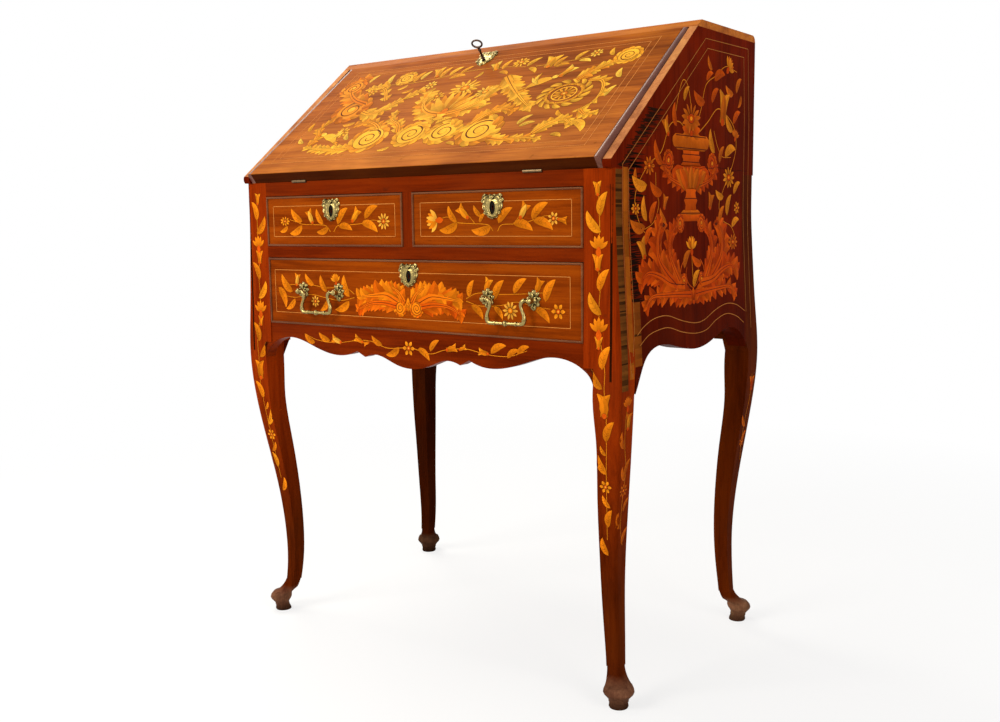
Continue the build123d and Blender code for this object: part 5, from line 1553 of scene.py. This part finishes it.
BAIL_COLLARS = (
    (33.6, 0, (1, 0, 0), ((-1.6, 2.6), (-0.9, 3.7), (0.8, 3.7), (1.4, 2.0))),
    (33.0, -28, (0.1, 1, 0), ((-1.4, 3.0), (-0.8, 3.8), (0.8, 3.8), (1.4, 3.0))),
)  # across, up, axis and profile of the right-hand ones


def cast_bail(side):
    """A swan-neck bail with collars, turned over on itself at both ends."""
    pivot = joint_place(f"bail_{side}_swing")
    low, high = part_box(f"bail_{side}")
    work = Casting(((low.x + high.x) / 2, pivot.y, pivot.z))
    half = flowing([(x, z, 0) for x, z in BAIL_LINE], 5)
    radii = [p.x for p in flowing([(r, 0) for r in BAIL_RADII], 5)]
    line = half + [Vector((-p.x, p.y, 0)) for p in half[-2::-1]]
    work.tube(line, radii + radii[-2::-1], 16)
    for x, profile in ((0, BAIL_BALUSTER), (-19, BAIL_RING), (19, BAIL_RING)):
        work.turned((x, -BAIL_DROP, 0), (1, 0, 0), profile)
    for hand in (-1, 1):
        for x, y, axis, profile in BAIL_COLLARS:
            work.turned((hand * x, y, 0), (hand * axis[0], *axis[1:]), profile)
    work.cast(f"bail_{side}_cast", f"bail_{side}", f"bail_{side}", MADE["old_brass"])


KEY_BOW_OUT = 32  # from the fall's face to the centre of the bow
KEY_BOW_HALF_WIDTH, KEY_BOW_HALF_HEIGHT = 9.9, 6.4
KEY_SHANK = (
    (-18.6, 1.6), (-18.2, 2.0), (3.6, 2.0), (4.0, 2.9), (4.6, 3.2), (5.8, 3.2), (6.4, 2.9),
    (6.8, 2.0), (12, 1.8), (18.6, 2.0), (19.2, 2.6), (20.2, 2.9), (21.2, 2.6), (21.8, 2.1),
    (24.0, 2.3), (26.4, 2.9),
)  # distance out from the fall's face, and radius
KEY_BIT = (
    (-1, -15.0), (-7.5, -15.0), (-7.5, -13.4), (-5.6, -13.4), (-5.6, -12.4), (-7.5, -12.4),
    (-7.5, -9.6), (-1, -9.6),
)


def cast_key(seat):
    """A forged key with an oval bow, a collared shank and a cut bit."""
    work = Casting(seat, FALL_UP)
    turns = [2 * math.pi * i / 48 for i in range(48)]
    bow = [Vector((KEY_BOW_HALF_WIDTH * math.cos(a), 0, KEY_BOW_OUT + KEY_BOW_HALF_HEIGHT * math.sin(a)))
           for a in turns]
    work.tube(bow, [1.55 + 0.35 * max(0.0, -math.sin(a)) ** 3 for a in turns], 12, loop=True)
    work.turned((0, 0, 0), (0, 0, 1), KEY_SHANK)
    work.skin([[(x, y, z) for y, z in KEY_BIT] for x in (-1.2, 1.2)])
    work.cast("key_forged", "key", "key", MADE["dark_iron"])


SHADE_LINING, PIN_HOLE = (5.6, 10.2, -1.6), (1.5, 4.2, -1.8)  # half width, half height, middle


def keyhole_shade_lining(name, body, seat):
    """Iron lining behind a drawer's escutcheon, pierced for the key's pin, made near black as painted shade
    for the keyhole's hollow.
    """
    work = Casting(seat)
    turns = [2 * math.pi * i / 32 for i in range(32)]
    outer, inner = (
        [Vector((math.cos(a) * wide, math.sin(a) * high + middle)) for a in turns]
        for wide, high, middle in (SHADE_LINING, PIN_HOLE)
    )
    steps = ((0.0, 0.0, 0), (0.0, 0.4, 0), (1.0, 0.5, 0), (1.0, 0.0, 0))
    work.relief(outer, inner, steps, loop=True)
    work.cast(name, body, None, MADE["keyhole_iron"])


class ESCRITOIRE_OT_hardware(bpy.types.Operator):
    """Casts the escutcheons, handles and key"""

    bl_idname = "escritoire.hardware"
    bl_label = "Hardware"

    def execute(self, context):
        for drawer in OUTER_DRAWERS:
            node = f"{drawer}_escutcheon"
            low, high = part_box(node)
            seat = ((low.x + high.x) / 2, high.y, (low.z + high.z) / 2)
            cast_escutcheon(node, drawer, seat, (0, 0, 1), CARTOUCHE_SIZE, 0.0, DRAWER_HOLE)
            keyhole_shade_lining(f"{drawer}_keyhole", drawer, seat)
        turn = joint_place("key_turn")
        seat = turn + FALL_OUT * (FALL_THICK - (turn - HINGE).dot(FALL_OUT))
        cast_escutcheon("fall_escutcheon", "fall", seat, FALL_UP,
                        FALL_CARTOUCHE_SIZE, FALL_CARTOUCHE_RISE, FALL_HOLE)
        cast_posts()
        cast_bail("left")
        cast_bail("right")
        cast_key(seat)
        return {"FINISHED"}


class ESCRITOIRE_OT_inlay(bpy.types.Operator):
    """Cuts and lays the floral marquetry and the stringing"""

    bl_idname = "escritoire.inlay"
    bl_label = "Inlay"

    def execute(self, context):
        MADE["inlay"] = make_inlay_wood("inlaid_wood")
        across, depth, up = Vector((1, 0, 0)), Vector((0, 1, 0)), Vector((0, 0, 1))
        for name, body, setback, lay in (
            ("inlay_short_right", "short_drawer_right", DRAWER_SETBACK, lay_short_right),
            ("inlay_short_left", "short_drawer_left", DRAWER_SETBACK, lay_short_left),
            ("inlay_long", "long_drawer", DRAWER_SETBACK, lay_long),
            ("inlay_apron", "case", 0.0, lay_apron),
        ):
            place = flat_place((0, FRONT + setback, 0), across, up)
            self.cut(Inlay(name, body, "walnut_veneer", place), lay)
        for hand, side in SIDES:
            leg, boards = f"leg_front_{side}", (f"side_{side}", f"leg_rear_{side}")
            place = cast_place([leg], (0, -1, 0), depth, across, up)
            self.cut(Inlay(f"inlay_post_{side}", "case", "walnut_veneer", place, hand), lay_post)
            place = cast_place([leg, *boards], (hand, FRONT, 0), -hand * across, depth, up)
            self.cut(Inlay(f"inlay_side_{side}", "case", "side_veneer", place), lay_side, lay_leg_sides)
        place = flat_place(HINGE + FALL_OUT * FALL_THICK, across, FALL_UP)
        self.cut(Inlay("inlay_fall", "fall", "fall_veneer", place), lay_fall)
        return {"FINISHED"}

    @staticmethod
    def cut(inlay, *layouts):
        """Lays out one surface's inlay and makes it."""
        for lay in layouts:
            lay(inlay)
        inlay.finish()


STEPS = (
    ESCRITOIRE_OT_stage,
    ESCRITOIRE_OT_woods,
    ESCRITOIRE_OT_metals,
    ESCRITOIRE_OT_hardware,
    ESCRITOIRE_OT_inlay,
)
SETTINGS = {
    "escritoire_veneer": VeneerProperties,
    "escritoire_inlay": InlayProperties,
    "escritoire_metal": MetalProperties,
    "escritoire_stage": StageProperties,
}


class ESCRITOIRE_PT_panel(bpy.types.Panel):
    """Lists the desk's finishes and pieces"""

    bl_label = "Escritoire"
    bl_idname = "ESCRITOIRE_PT_panel"
    bl_space_type = "VIEW_3D"
    bl_region_type = "UI"
    bl_category = "Escritoire"

    def draw(self, context):
        for step in STEPS:
            self.layout.operator(step.bl_idname)
        for name, kind in SETTINGS.items():
            box = self.layout.box()
            for value in kind.__annotations__:
                box.prop(getattr(context.scene, name), value)


CLASSES = (*SETTINGS.values(), *STEPS, ESCRITOIRE_PT_panel)


def register():
    """Adds the classes and the scene's properties."""
    for made in CLASSES:
        bpy.utils.register_class(made)
    for name, kind in SETTINGS.items():
        setattr(bpy.types.Scene, name, bpy.props.PointerProperty(type=kind))


def unregister():
    """Takes them out again."""
    for name in SETTINGS:
        delattr(bpy.types.Scene, name)
    for made in reversed(CLASSES):
        bpy.utils.unregister_class(made)


def main():
    """Builds the whole desk."""
    register()
    for step in STEPS:
        part, name = step.bl_idname.split(".")
        getattr(getattr(bpy.ops, part), name)()


if __name__ == "__main__":
    main()
